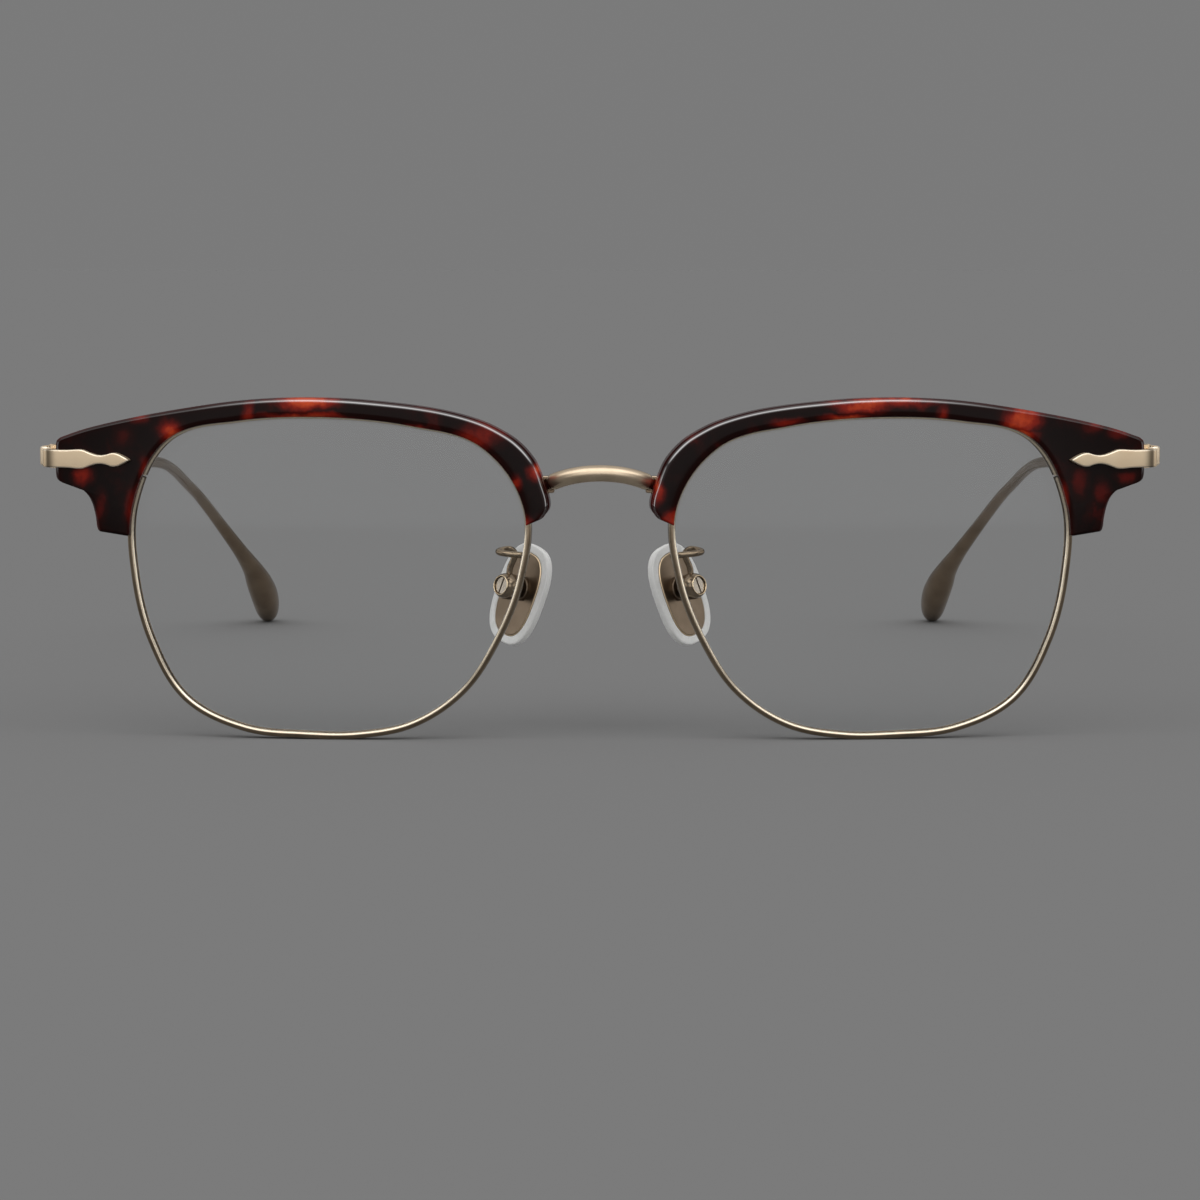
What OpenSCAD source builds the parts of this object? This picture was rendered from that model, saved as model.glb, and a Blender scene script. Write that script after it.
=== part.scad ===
// Browline spectacles that stand open on the rims and the temple tips.
// X runs across the front, to the wearer's left. Y runs back along the temples. Z is up.

/* [Lenses] */
// Width of one lens, from edge to edge
lens_w = 51; // [46:0.5:56]
// Height of one lens, from edge to edge
lens_h = 41; // [36:0.5:46]
// Thickness of a lens
lens_t = 1.8; // [1.4:0.1:2.2]
// Radius that lenses, rims and brows are curved to
base_r = 150; // [120:5:240]
// Thickness of the ridge round the edge of a lens
ridge_t = 0.7; // [0.5:0.05:0.9]

/* [Front] */
// Least distance between the two lenses
bridge_w = 19; // [16:0.5:22]
// Angle that each half of the front turns back
wrap = 4; // [2:0.5:6]
// Height of the hinges above the middle of the lenses
hinge_rise = 14.8; // [14:0.1:15.4]
// Gap left round a piece that sits in another
fit_gap = 0.05; // [0.03:0.01:0.08]

/* [Rims] */
// Width of the rim wire, seen from the front
rim_t = 0.85; // [0.8:0.05:1.1]
// Depth of the rim wire, from front to back
rim_d = 1.7; // [1.6:0.1:2.2]
// Depth of the groove that holds the lens
groove_d = 0.4; // [0.35:0.05:0.45]
// Gap where the rim wire is split
split_gap = 0.3; // [0.2:0.05:0.5]
// Length of each closing block along the rim
block_l = 2.1; // [1.8:0.1:2.4]
// Width of a closing block
block_w = 1.9; // [1.7:0.1:2.2]
// Depth of a closing block, from front to back
block_d = 2.8; // [2.6:0.1:3.2]
// Radius of a closing screw's shank
closing_r = 0.4; // [0.3:0.05:0.5]

/* [Brows] */
// Acetate in front of the rim wire
brow_cover = 1.6; // [1.4:0.1:2]
// Acetate behind the middle of the rim wire
brow_behind = 0.6; // [0.4:0.1:0.9]
// Height of the brow above the lens edge
brow_h = 2.3; // [1.8:0.1:3.2]
// How far the brow reaches past the lens at the side
brow_reach = 9.9; // [9:0.1:11]
// Width of rim wire that shows inside the brow
rim_reveal = 0.3; // [0.15:0.05:0.45]

/* [Bridge] */
// Radius of the bridge bar
bridge_bar_r = 1.05; // [0.8:0.05:1.2]
// Radius that the bridge bar is bent to
bridge_bend_r = 9.4; // [8.6:0.1:12]
// Angle that the bridge arch leans forward
bridge_lean = 55; // [30:1:60]
// Thickness of the tabs at the bridge's ends
tab_t = 0.9; // [0.7:0.1:1.2]
// Height of the tabs at the bridge's ends
tab_h = 2.2; // [1.8:0.1:2.4]

/* [End pieces] */
// Length of the arrow plate on the front of the brow
arrow_l = 11; // [10:0.1:11.4]
// Thickness of the arrow plate
arrow_t = 0.9; // [0.7:0.05:1.1]
// How far the arrow plate stands out of the brow
arrow_proud = 0.4; // [0.2:0.05:0.5]
// Half the height of the arrow plate at the corner
arrow_half_h = 1.15; // [1:0.05:1.25]
// Outer radius of the bend round the corner
corner_r = 1.5; // [1.3:0.05:1.8]
// Thickness of the bracket behind the brow
bracket_t = 1; // [0.8:0.1:1.2]
// Radius of the screws that hold the brows
brow_screw_r = 0.4; // [0.3:0.05:0.45]
// Radius of the heads of the brow screws
brow_screw_head_r = 0.8; // [0.7:0.05:0.95]

/* [Hinges] */
// Radius of the hinge knuckles
knuckle_r = 1.15; // [1.1:0.05:1.25]
// Half the height of the whole hinge
knuckle_half_h = 1.5; // [1.4:0.05:1.7]
// Half the height of the temple's knuckle
temple_knuckle_half_h = 0.45; // [0.35:0.05:0.5]
// Thickness of a hinge washer
washer_t = 0.13; // [0.1:0.01:0.16]
// Radius of the hinge screw's shank
hinge_screw_r = 0.5; // [0.4:0.05:0.55]
// Gap round the hinge screw in the temple's knuckle
running_gap = 0.06; // [0.04:0.01:0.08]
// Gap between the open temple and the end piece
stop_gap = 0.15; // [0.1:0.05:0.25]

/* [Temples] */
// Length from the hinge to the tip, along the floor
temple_len = 129.5; // [120:0.5:140]
// How far the temples come in from hinge to tip
temple_in = 15.5; // [11:0.5:18]
// Half the thickness of the temple behind the hinge
bar_half_t = 0.65; // [0.55:0.05:0.75]
// Half the height of the temple behind the hinge
bar_half_h = 1.15; // [1:0.05:1.25]
// Half the width of the drop at the tip
drop_half_w = 2.2; // [1.8:0.1:2.6]
// Half the height of the drop at the tip
drop_half_h = 2.5; // [2:0.1:3]

/* [Nose pads] */
// Width of a nose pad
pad_w = 8.6; // [7.4:0.2:9.4]
// Length of a nose pad
pad_l = 13.4; // [12:0.2:15]
// Thickness of a nose pad
pad_t = 1.7; // [1.5:0.1:2.4]
// Width of silicone that shows round the metal core
pad_border = 1.1; // [0.9:0.1:1.3]
// Sideways place of a pad's post, from the middle
pad_x = 10.2; // [9.8:0.1:10.8]
// Place of a pad's post behind the bridge's middle line
pad_y = 13.2; // [12.8:0.1:14]
// How far a pad's post lies below the lens middle
pad_drop = 2.3; // [1.8:0.1:3]
// Angle that the pads turn out from straight ahead
pad_splay = 45; // [38:1:50]
// Angle that the pads lean out at the bottom
pad_lean = 11; // [8:1:14]
// Angle that the pads turn about their posts
pad_roll = 17; // [12:1:20]
// Radius of the pad's post
post_r = 0.8; // [0.7:0.05:0.85]
// Outer radius of the pad's holder
holder_r = 1.7; // [1.6:0.05:1.9]
// Radius of the pad arm's wire
arm_r = 0.4; // [0.35:0.05:0.45]

/* [Hidden] */

// Colours, as the photograph shows them
champagne = [0.8, 0.72, 0.61];
bronze = [0.5, 0.42, 0.33];
dark_bronze = [0.38, 0.31, 0.25];
tortoise = [0.24, 0.07, 0.05];
clear_white = [0.88, 0.89, 0.88];
glass = [0.8, 0.86, 0.88, 0.35];
steel = [0.62, 0.6, 0.57];

// Radius of the lens edge every 20 degrees, from the nose side and up over the top
lens_radii = [24.6, 26.7, 25.8, 22.2, 20.5, 20.7, 22.9, 27, 26.8,
  25.2, 24.6, 24.5, 22.5, 20.6, 20.6, 21.7, 22.5, 23];
radii_step = 360 / len(lens_radii);
outline_step = 5;

// Upper edge of the brow: angle round the lens, and height over the lens as a share of brow_h
brow_nose_rows = [[16, 0.739], [17, 1.087], [18.2, 1.326], [20, 1.413], [23, 1.435], [26, 1.5],
  [29, 1.565], [33, 1.522], [37, 1.391], [43, 1.174], [51, 1.087], [62, 1.065], [78, 1],
  [89, 1], [100, 1], [112, 1], [123, 1.043], [134, 1.13]];
// Outer edge of the brow's side from its corner: across and up, as shares of brow_reach
brow_side_rows = [[-1.03, 0.535], [-0.465, 0.404], [-0.121, 0.293], [-0.035, 0.252],
  [0, 0.192], [0, -0.04], [-0.005, -0.212], [-0.04, -0.283], [-0.131, -0.313],
  [-0.242, -0.338], [-0.364, -0.394], [-0.455, -0.48], [-0.51, -0.586], [-0.55, -0.737],
  [-0.571, -0.879], [-0.616, -0.95]];
// Angles round the lens where the brow starts and ends
brow_from = 14.5;
brow_to = 168.5;
// Points between two rows of a curve
curve_parts = 4;

// Half height of the arrow plate, as shares of its length and of its height at the corner
arrow_rows = [[0, 1], [0.11, 0.98], [0.23, 1], [0.355, 1.08], [0.42, 1.04], [0.5, 0.77],
  [0.58, 0.54], [0.65, 0.48], [0.71, 0.56], [0.79, 0.76], [0.85, 0.72], [0.9, 0.55],
  [0.96, 0.27], [1, 0.03]];

// Route of a temple: shares of its length, its way in and its way down, and its half sizes,
// from the plain bar at 0 to the drop at 1
temple_rows = [[0, 0, 0, 0, 0], [0.08, 0.06, 0.024, 0, -0.05], [0.2, 0.17, 0.066, 0, -0.2],
  [0.34, 0.29, 0.107, 0, -0.45], [0.48, 0.39, 0.146, 0.03, -0.6],
  [0.57, 0.435, 0.2, 0.06, -0.6], [0.645, 0.485, 0.275, 0.08, -0.6],
  [0.7, 0.565, 0.352, 0.1, -0.55], [0.77, 0.7, 0.488, 0.17, -0.4],
  [0.835, 0.85, 0.632, 0.33, -0.03], [0.88, 0.94, 0.73, 0.62, 0.3],
  [0.912, 0.985, 0.805, 0.93, 0.7], [0.945, 1.015, 0.88, 1, 0.95], [0.975, 1.02, 0.95, 0.8, 0.7],
  [0.992, 1.01, 0.985, 0.35, 0.1], [1, 1, 1, -0.35, -1.3]];
temple_sides = 14;

// Route of a pad arm: from its foot on the rim, then from its end in the holder
arm_foot_rows = [[0, 0, 0], [0.4, 0.85, 0.05], [1.6, 1.3, 0.1], [2.9, 1.75, 0.2],
  [3.6, 2.5, 0.35], [3.15, 3.3, 0.5], [2.1, 3.85, 0.55]];
arm_end_rows = [[-0.8, -0.6, 3], [-0.55, -0.2, 2.2], [-0.1, 0, 1.1], [0, 0, 0]];
arm_sides = 12;
arm_foot_angle = 5.8;

// Rows of a nose pad: height below the core's face, and how far the outline draws in
pad_rows = [[1, 2.4], [0.93, 1.15], [0.76, 0.4], [0.5, 0], [0.2, 0], [0, 0.3]];
pad_points = 40;
pad_squareness = 2.7;

// Sizes that follow from the ones above
aperture_off = -groove_d;
rim_outer_off = rim_t - groove_d;
rim_v = brow_cover + rim_d / 2;
ball_v = rim_v + base_r;
groove_w = ridge_t + 4 * fit_gap;

raw_edge = [for (a = [0:outline_step:359])
  [-spline_radius(a) * cos(a), spline_radius(a) * sin(a)]];
raw_lo = [min([for (p = raw_edge) p[0]]), min([for (p = raw_edge) p[1]])];
raw_hi = [max([for (p = raw_edge) p[0]]), max([for (p = raw_edge) p[1]])];
scale_u = lens_w / (raw_hi[0] - raw_lo[0]);
scale_z = lens_h / (raw_hi[1] - raw_lo[1]);
lens_u = bridge_w / 2 - raw_lo[0] * scale_u;
lens_z = rim_outer_off - raw_lo[1] * scale_z;
hinge_z = lens_z + hinge_rise;
brow_side_u = lens_u + raw_hi[0] * scale_u + brow_reach;

// Radius of the lens edge at any angle, smooth through the listed radii
function spline_radius(a) = let (
    n = len(lens_radii), s = (a % 360 + 360) % 360 / radii_step, i = floor(s), t = s - i)
  blend4(lens_radii[(i + n - 1) % n], lens_radii[i % n],
    lens_radii[(i + 1) % n], lens_radii[(i + 2) % n], t);

// Smooth value between b and c, where a and d are their neighbours
function blend4(a, b, c, d, t) =
  b + t * (c - a) / 2 + t * t * (a - 2.5 * b + 2 * c - d / 2)
  + t * t * t * (1.5 * (b - c) + (d - a) / 2);

// Smooth curve through points, with open ends
function curve(rows, parts) = let (n = len(rows)) [
  for (i = [0:n - 2]) for (k = [0:parts - 1])
    blend4(rows[max(i - 1, 0)], rows[i], rows[i + 1], rows[min(i + 2, n - 1)], k / parts),
  rows[n - 1]];

// Point of the lens edge at an angle, moved out by off, in the plane of a half front
function edge_raw(a) = [-spline_radius(a) * cos(a) * scale_u,
  spline_radius(a) * sin(a) * scale_z];
function edge_out(a) = let (t = edge_raw(a + 0.5) - edge_raw(a - 0.5)) [-t[1], t[0]] / norm(t);
function edge_at(a, off) = [lens_u, lens_z] + edge_raw(a) + off * edge_out(a);
function edge_loop(off) = [for (a = [0:outline_step:359]) edge_at(a, off)];

// Depth of the curved surface that lies off in front of the middle of the rim wire
function depth_at(p, off) = ball_v
  - sqrt(pow(base_r + off, 2) - pow(p[0] - lens_u, 2) - pow(p[1] - lens_z, 2));

// Place in the whole frame of a point in the left half of the front
function in_whole(p) = [p[0] * cos(wrap) - p[1] * sin(wrap),
  p[0] * sin(wrap) + p[1] * cos(wrap), p[2]];

// Corner where the arrow plate bends round the brow's side
corner_over = 0.55;
corner_u = brow_side_u + corner_over;
corner_v = depth_at([corner_u, hinge_z], rim_v);
corner_turn = wrap + asin((corner_u - lens_u) / (base_r + rim_v));
corner = in_whole([corner_u, corner_v, hinge_z]);

// Plan place of a point p along the arrow plate and q behind the brow's front
function at_corner(p, q) = [corner[0] + p * cos(corner_turn) - q * sin(corner_turn),
  corner[1] + p * sin(corner_turn) + q * cos(corner_turn)];

// Plan place q behind the brow's front, where the bracket meets the side arm
function at_arm(q) = at_corner(
  (arm_in_x - corner[0] + q * sin(corner_turn)) / cos(corner_turn), q);

brow_t = rim_v + brow_behind;
bend_mid = at_corner(0, corner_r - arrow_proud);
side_x = bend_mid[0] + corner_r;
bracket_q = brow_t + 2 * fit_gap;
bend_parts = 16;
arm_l = 4.3;
head_from = 0.8;
web_l = 2;
web_step = 0.2;
through = 6;
arm_in_x = side_x - arrow_t - fit_gap;
hinge_x = side_x - knuckle_r - 0.2;
hinge_y = bend_mid[1] + arm_l;
bracket_end_p = -9.35;
bracket_half_h = 1.2;
brow_screw_p = -4.3;
boss_r = brow_screw_r + 0.45;
boss_l = 1.7;
screw_head_t = 0.4;

// The closing blocks sit where the rim wire is split
split_angle = 152.3;
split_half = split_gap / 2;
split_at = edge_at(split_angle, rim_outer_off + fit_gap);
split_lean = atan2(edge_out(split_angle)[1], edge_out(split_angle)[0]);
split_turn = asin((split_at[0] - lens_u) / base_r);
split_v = depth_at(split_at, 0);
block_front = 0.9;
block_sunk = 0.2;

// Bridge ends and tabs
tab_angle = 25.2;
tab_rim = edge_at(tab_angle, rim_outer_off + fit_gap);
tab_end_x = 6.6;
tab_u = 8.9;
bar_clear = 4;
tab_at = [tab_u, tab_rim[1]];
tab_v = depth_at(tab_at, -brow_behind) + 2 * fit_gap;
tab_turn = asin((tab_u - lens_u) / base_r);
bridge_half_angle = asin(tab_end_x / bridge_bend_r);
bridge_end_y = in_whole([tab_end_x, depth_at([tab_end_x, tab_rim[1]], -brow_behind), 0])[1]
  + tab_t / 2 + 2 * fit_gap;

// Hinge and temple
washer_gap = 0.02;
fixed_knuckle_from = temple_knuckle_half_h + washer_t + 2 * washer_gap;
hinge_head_r = 0.85;
hinge_head_t = 0.28;
head_l = 4.7;
head_out = side_x - hinge_x + 1.05;
head_half_h = 1.25;
bar_start = [side_x - 0.25, hinge_y + head_l + fit_gap];

// Nose pad frame: the post stands along x, the pad's length along z
post_l = 3.2;
collar_r = 1.6;
collar_t = 0.5;
core_t = 0.6;
core_face = 0.05;
holder_from = 1.1;
holder_to = 3.85;
holder_sink = 0.6;
pad_screw_head_r = 1.05;
pad_screw_head_t = 0.35;
pad_shift = [0.3, -0.85];
arm_in_at = 2.2;
arm_sink = 0.4;
post_at = [pad_x, pad_y, lens_z - pad_drop];

// Unit vector along a pad's post, outward
post_dir = [cos(pad_splay) * cos(pad_lean), -sin(pad_splay) * cos(pad_lean), sin(pad_lean)];
arm_end = post_at + arm_in_at * post_dir + [0, 0, holder_r - arm_sink];
arm_foot_uz = edge_at(arm_foot_angle, (aperture_off + rim_outer_off) / 2);
arm_foot = in_whole([arm_foot_uz[0],
  depth_at(arm_foot_uz, -rim_d / 2) + fit_gap, arm_foot_uz[1]]);

// Points of one ring of a sweep, square to the way d, with half sizes w and h
function ring(at, d, w, h, sides) = let (
    t = d / norm(d), s = cross(t, [0, 0, 1]), l = norm(s) < 0.05 ? [1, 0, 0] : s / norm(s),
    n = cross(l, t))
  [for (k = [0:sides - 1]) let (a = 360 * k / sides) at + l * w * cos(a) + n * h * sin(a)];

// Faces of a run of rings with closed ends
function tube_faces(rings, sides) = concat(
  [for (i = [0:rings - 2]) for (k = [0:sides - 1]) let (k2 = (k + 1) % sides)
    [i * sides + k, (i + 1) * sides + k, (i + 1) * sides + k2, i * sides + k2]],
  [[for (k = [0:sides - 1]) k]],
  [[for (k = [sides - 1:-1:0]) (rings - 1) * sides + k]]);

function join(lists) = [for (l = lists) each l];
function way(pts, i) = pts[min(i + 1, len(pts) - 1)] - pts[max(i - 1, 0)];

// Left temple's rings. down is the height from the hinge to the end of its middle line
function temple_rings(down) = let (
    rows = curve(temple_rows, curve_parts),
    pts = [for (r = rows) [bar_start[0] - r[1] * temple_in,
      bar_start[1] + r[0] * (temple_len - head_l), hinge_z - r[2] * down]])
  [for (i = [0:len(rows) - 1]) let (r = rows[i])
    ring(pts[i], i == 0 ? [0, 1, 0] : way(pts, i),
      bar_half_t + r[3] * (r[3] > 0 ? drop_half_w - bar_half_t : bar_half_t),
      bar_half_h + r[4] * (r[4] > 0 ? drop_half_h - bar_half_h : bar_half_h / 2),
      temple_sides)];
function lowest(rings) = min([for (p = join(rings)) p[2]]);

// The temple's fall is set so that its tip just meets the floor
fall_try = hinge_z - 1;
fall_low = lowest(temple_rings(fall_try));
fall_low_2 = lowest(temple_rings(fall_try + 1));
fall = fall_try + fall_low / (fall_low - fall_low_2);
left_temple_rings = temple_rings(fall);

// The part is centred front to back on its box
front_most = min([for (p = brow_outline())
  in_whole([p[0], depth_at(p, rim_v), 0])[1]]);
back_most = max([for (p = join(left_temple_rings)) p[1]]);
centre_y = -(front_most + back_most) / 2;

// Outline of the left brow, seen from the front
function brow_outline() = concat(
  [edge_at(brow_from, rim_reveal - groove_d)],
  curve(concat(
    [for (r = brow_nose_rows) edge_at(r[0], brow_h * r[1])],
    [for (r = brow_side_rows) [brow_side_u, hinge_z] + brow_reach * r]), curve_parts),
  [for (a = [brow_to:-outline_step / 2:brow_from + 1]) edge_at(a, rim_reveal - groove_d)]);

// Place in the whole frame, for the left half or mirrored for the right
module whole(side) {
  translate([0, centre_y, 0]) if (side > 0) children(); else mirror([1, 0, 0]) children();
}

module half_front(side) { whole(side) rotate([0, 0, wrap]) children(); }

// Solid from an outline in the plane of a half front, from the depth at to at + deep
module slab(points, at, deep) {
  translate([0, at + deep, 0]) rotate([90, 0, 0]) linear_extrude(deep) polygon(points);
}

module ball(off) {
  translate([lens_u, ball_v, lens_z]) sphere(base_r + off, $fn = 240);
}

// Part of the children that lies between two curved surfaces
module between(front, back) {
  intersection() { children(); difference() { ball(front); ball(back); } }
}

front_deep = 16;

module lens(side) {
  color(glass) half_front(side) {
    between(lens_t / 2, -lens_t / 2) slab(edge_loop(aperture_off - fit_gap), -2, front_deep);
    between(ridge_t / 2, -ridge_t / 2) slab(edge_loop(-fit_gap), -2, front_deep);
  }
}

// Frame of the closing blocks: x out from the rim, y back, z up along the wire
module at_split() {
  translate([split_at[0], split_v, split_at[1]]) rotate([0, 0, split_turn])
    rotate([0, -split_lean, 0]) children();
}

module rim(side) {
  color(bronze) half_front(side) difference() {
    between(rim_d / 2, -rim_d / 2) difference() {
      slab(edge_loop(rim_outer_off), -2, front_deep);
      slab(edge_loop(aperture_off), -3, front_deep + 2);
    }
    between(groove_w / 2, -groove_w / 2) slab(edge_loop(0), -2, front_deep);
    at_split() translate([-rim_t * 2, -rim_d, -split_half])
      cube([rim_t * 2 + 1, rim_d * 2, split_gap]);
  }
}

// One closing block, above or below the split
module closing_block(side, up) {
  color(dark_bronze) half_front(side) difference() {
    at_split() difference() {
      translate([-block_sunk, -block_front, up > 0 ? split_half : -split_half - block_l])
        cube([block_w + block_sunk, block_d, block_l]);
      translate([block_w / 2, block_d / 2 - block_front, -block_l * 2])
        cylinder(h = block_l * 4, r = closing_r + fit_gap / 2, $fn = 32);
    }
    slab(edge_loop(rim_outer_off + fit_gap), -2, front_deep);
  }
}

closing_head_t = 0.4;
closing_head_r = 0.75;

module closing_screw(side) {
  half_front(side) at_split() translate([block_w / 2, block_d / 2 - block_front, 0]) {
    translate([0, 0, -split_half - block_l - fit_gap - 0.1])
      cylinder(h = 2 * block_l + split_gap, r = closing_r, $fn = 32);
    difference() {
      translate([0, 0, -split_half - block_l - fit_gap - closing_head_t])
        cylinder(h = closing_head_t, r = closing_head_r, $fn = 32);
      translate([-1, -0.12, -split_half - block_l - fit_gap - closing_head_t - 0.1])
        cube([2, 0.24, 0.25]);
    }
  }
}

module closing_screws() { color(steel) { closing_screw(1); closing_screw(-1); } }

// Flat outline of the arrow plate, with its length along -x
function arrow_outline(grow) = let (
    top = [for (r = curve(arrow_rows, 3))
      [-r[0] * (arrow_l + grow), r[1] * arrow_half_h + grow]])
  concat(top, [for (i = [len(top) - 1:-1:0]) [top[i][0], -top[i][1]]]);

// Frame at the corner: x along the arrow plate, y back through the brow
module at_corner_frame(side) {
  whole(side) translate(corner) rotate([0, 0, corner_turn]) children();
}

module arrow_slab(grow, from, to) {
  translate([0, to, 0]) rotate([90, 0, 0]) linear_extrude(to - from)
    polygon(arrow_outline(grow));
}

module brow(side) {
  color(tortoise) difference() {
    half_front(side) difference() {
      between(rim_v, -brow_behind) slab(brow_outline(), -2, front_deep);
      // Rebate that holds the rim wire, open to the back
      intersection() {
        slab(edge_loop(rim_outer_off + fit_gap), -2, front_deep);
        ball(rim_d / 2 + fit_gap);
      }
      // Room for the closing blocks
      at_split()
        translate([-block_sunk - fit_gap, -block_front - 2 * fit_gap, -block_l - 0.8])
        cube([block_sunk + block_w + 4 * fit_gap, block_d + 2, 2 * block_l + 1.6]);
      // Flat seat for the bridge's tab and hole for its screw
      tab_frame() translate([-tab_u, -fit_gap, -tab_h / 2 - fit_gap])
        cube([2 * tab_u, 2, tab_h + 2 * fit_gap]);
      tab_frame() rotate([90, 0, 0])
        cylinder(h = 2 + tab_t, r = brow_screw_r + fit_gap / 2, $fn = 32);
    }
    at_corner_frame(side) {
      // Pocket for the arrow plate and hole for its boss
      arrow_slab(fit_gap, -1.5, arrow_t - arrow_proud + fit_gap);
      translate([0, -1.5, -arrow_half_h - fit_gap])
        cube([3, arrow_t - arrow_proud + fit_gap + 1.5, 2 * (arrow_half_h + fit_gap)]);
      translate([brow_screw_p, 0, 0]) rotate([-90, 0, 0])
        cylinder(h = brow_t + 2, r = boss_r + fit_gap, $fn = 40);
      // Flat seat for the bracket
      translate([bracket_end_p - 2 * fit_gap, bracket_q - fit_gap, -bracket_half_h - fit_gap])
        cube([6 - bracket_end_p, 3, 2 * (bracket_half_h + fit_gap)]);
    }
  }
}

// Frame on the back of the brow, at the bridge's tab: y points back
module tab_frame() {
  translate([tab_u, tab_v, tab_rim[1]]) rotate([0, 0, tab_turn]) children();
}

module bridge_tab(side) {
  half_front(side) difference() {
    tab_frame() translate([-(tab_u - tab_end_x) - 0.4, 0, -tab_h / 2])
      cube([tab_rim[0] - tab_end_x + 1.4, tab_t, tab_h]);
    slab(edge_loop(rim_outer_off + fit_gap), -2, front_deep);
    tab_frame() rotate([90, 0, 0])
      translate([0, 0, -tab_t * 2]) cylinder(h = tab_t * 4, r = brow_screw_r + fit_gap, $fn = 32);
  }
}

module bridge() {
  color(champagne) {
    difference() {
      translate([0, bridge_end_y + centre_y, tab_rim[1]]) rotate([bridge_lean, 0, 0])
        translate([0, 0, -bridge_bend_r * cos(bridge_half_angle)]) rotate([90, 0, 0])
        rotate([0, 0, 90 - bridge_half_angle])
        rotate_extrude(angle = 2 * bridge_half_angle, $fn = 96)
        translate([bridge_bend_r, 0]) circle(bridge_bar_r, $fn = 40);
      // Clear of the brows, in front of the tabs
      for (side = [1, -1]) half_front(side) tab_frame()
        translate([tab_end_x - tab_u, -bar_clear, -bar_clear])
        cube([bar_clear, bar_clear, 2 * bar_clear]);
    }
    bridge_tab(1);
    bridge_tab(-1);
  }
}

// Plan of the arrow plate, the bend round the corner and the side arm
function trim_plan() = let (
    c = [0, corner_r - arrow_proud], along = [sin(corner_turn), cos(corner_turn)],
    arm = (hinge_y - bend_mid[1] - head_from - stop_gap) * along,
    turns = [for (k = [0:bend_parts]) -90 + (90 - corner_turn) * k / bend_parts],
    outer = [for (a = turns) c + corner_r * [cos(a), sin(a)]],
    inner = [for (k = [bend_parts:-1:0])
      c + (corner_r - arrow_t) * [cos(turns[k]), sin(turns[k])]])
  concat([[-2 * arrow_l, -arrow_proud]], outer, [outer[bend_parts] + arm, inner[0] + arm], inner,
    [[-2 * arrow_l, arrow_t - arrow_proud]]);

module end_trim(side) {
  color(champagne) difference() {
    at_corner_frame(side) {
      intersection() {
        translate([0, 0, -2 * arrow_half_h]) linear_extrude(4 * arrow_half_h)
          polygon(trim_plan());
        rotate([90, 0, 0]) linear_extrude(8 * corner_r, center = true)
          polygon(concat([[arrow_l, arrow_half_h]], arrow_outline(0),
            [[arrow_l, -arrow_half_h]]));
      }
      // Boss that takes the brow screw
      translate([brow_screw_p, arrow_t - arrow_proud - 0.1, 0]) rotate([-90, 0, 0])
        cylinder(h = boss_l + 0.1, r = boss_r, $fn = 40);
    }
    at_corner_frame(side) translate([brow_screw_p, 0.1, 0]) rotate([-90, 0, 0])
      cylinder(h = boss_l + 1, r = brow_screw_r + fit_gap / 2, $fn = 32);
    whole(side) translate([hinge_x, hinge_y, hinge_z - through / 2])
      cylinder(h = through, r = knuckle_r + 2 * fit_gap, $fn = 48);
  }
}

module end_bracket(side) {
  color(bronze) difference() {
    whole(side) {
      // Plate behind the brow, ending at the side arm
      translate([0, 0, hinge_z - bracket_half_h]) linear_extrude(2 * bracket_half_h)
        polygon([at_corner(bracket_end_p, bracket_q), at_arm(bracket_q),
          at_arm(bracket_q + bracket_t), at_corner(bracket_end_p, bracket_q + bracket_t)]);
      // Two fixed knuckles with their webs
      for (up = [0, 1]) translate([0, 0, hinge_z]) mirror([0, 0, up])
        translate([0, 0, fixed_knuckle_from])
        linear_extrude(knuckle_half_h - fixed_knuckle_from) {
          translate([hinge_x, hinge_y]) circle(knuckle_r, $fn = 48);
          polygon([[hinge_x - knuckle_r, hinge_y], [hinge_x - knuckle_r, hinge_y - web_l],
            [arm_in_x, hinge_y - knuckle_r - web_step], [arm_in_x, hinge_y - knuckle_r + web_step],
            [hinge_x, hinge_y]]);
        }
    }
    // Clear of the temple's knuckle
    whole(side) translate([hinge_x, hinge_y, hinge_z - fixed_knuckle_from])
      cylinder(h = 2 * fixed_knuckle_from, r = knuckle_r + 2 * fit_gap, $fn = 48);
    // Bore for the hinge screw and a seat for its head
    whole(side) translate([hinge_x, hinge_y, hinge_z - through / 2])
      cylinder(h = through, r = hinge_screw_r + fit_gap / 2, $fn = 40);
    whole(side) translate([hinge_x, hinge_y, hinge_z + knuckle_half_h - hinge_head_t - fit_gap])
      cylinder(h = 1, r = hinge_head_r + fit_gap, $fn = 40);
    // Hole for the brow screw
    at_corner_frame(side) translate([brow_screw_p, brow_t - 1, 0]) rotate([-90, 0, 0])
      cylinder(h = 4, r = brow_screw_r + fit_gap, $fn = 32);
    // Clear of the closing block
    half_front(side) at_split() translate([-3, -3, -4]) cube([3 + block_w + fit_gap, 8, 8]);
  }
}

// Screw along y, its head's underside at y = 0 and its shank reaching to -y
module slotted_screw(shank, shank_l, head, head_t) {
  rotate([90, 0, 0]) cylinder(h = shank_l, r = shank, $fn = 32);
  difference() {
    rotate([-90, 0, 0]) cylinder(h = head_t, r = head, $fn = 36);
    translate([-head * 2, head_t - 0.15, -0.12]) cube([head * 4, 1, 0.24]);
  }
}

module brow_screws() {
  color(steel) for (side = [1, -1]) {
    at_corner_frame(side)
      translate([brow_screw_p, bracket_q + bracket_t + fit_gap / 2, 0])
      slotted_screw(brow_screw_r, bracket_t + 2.4, brow_screw_head_r, screw_head_t);
    half_front(side) tab_frame() translate([0, tab_t + fit_gap / 2, 0])
      slotted_screw(brow_screw_r, tab_t + 1.8, brow_screw_head_r, screw_head_t);
  }
}

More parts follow.
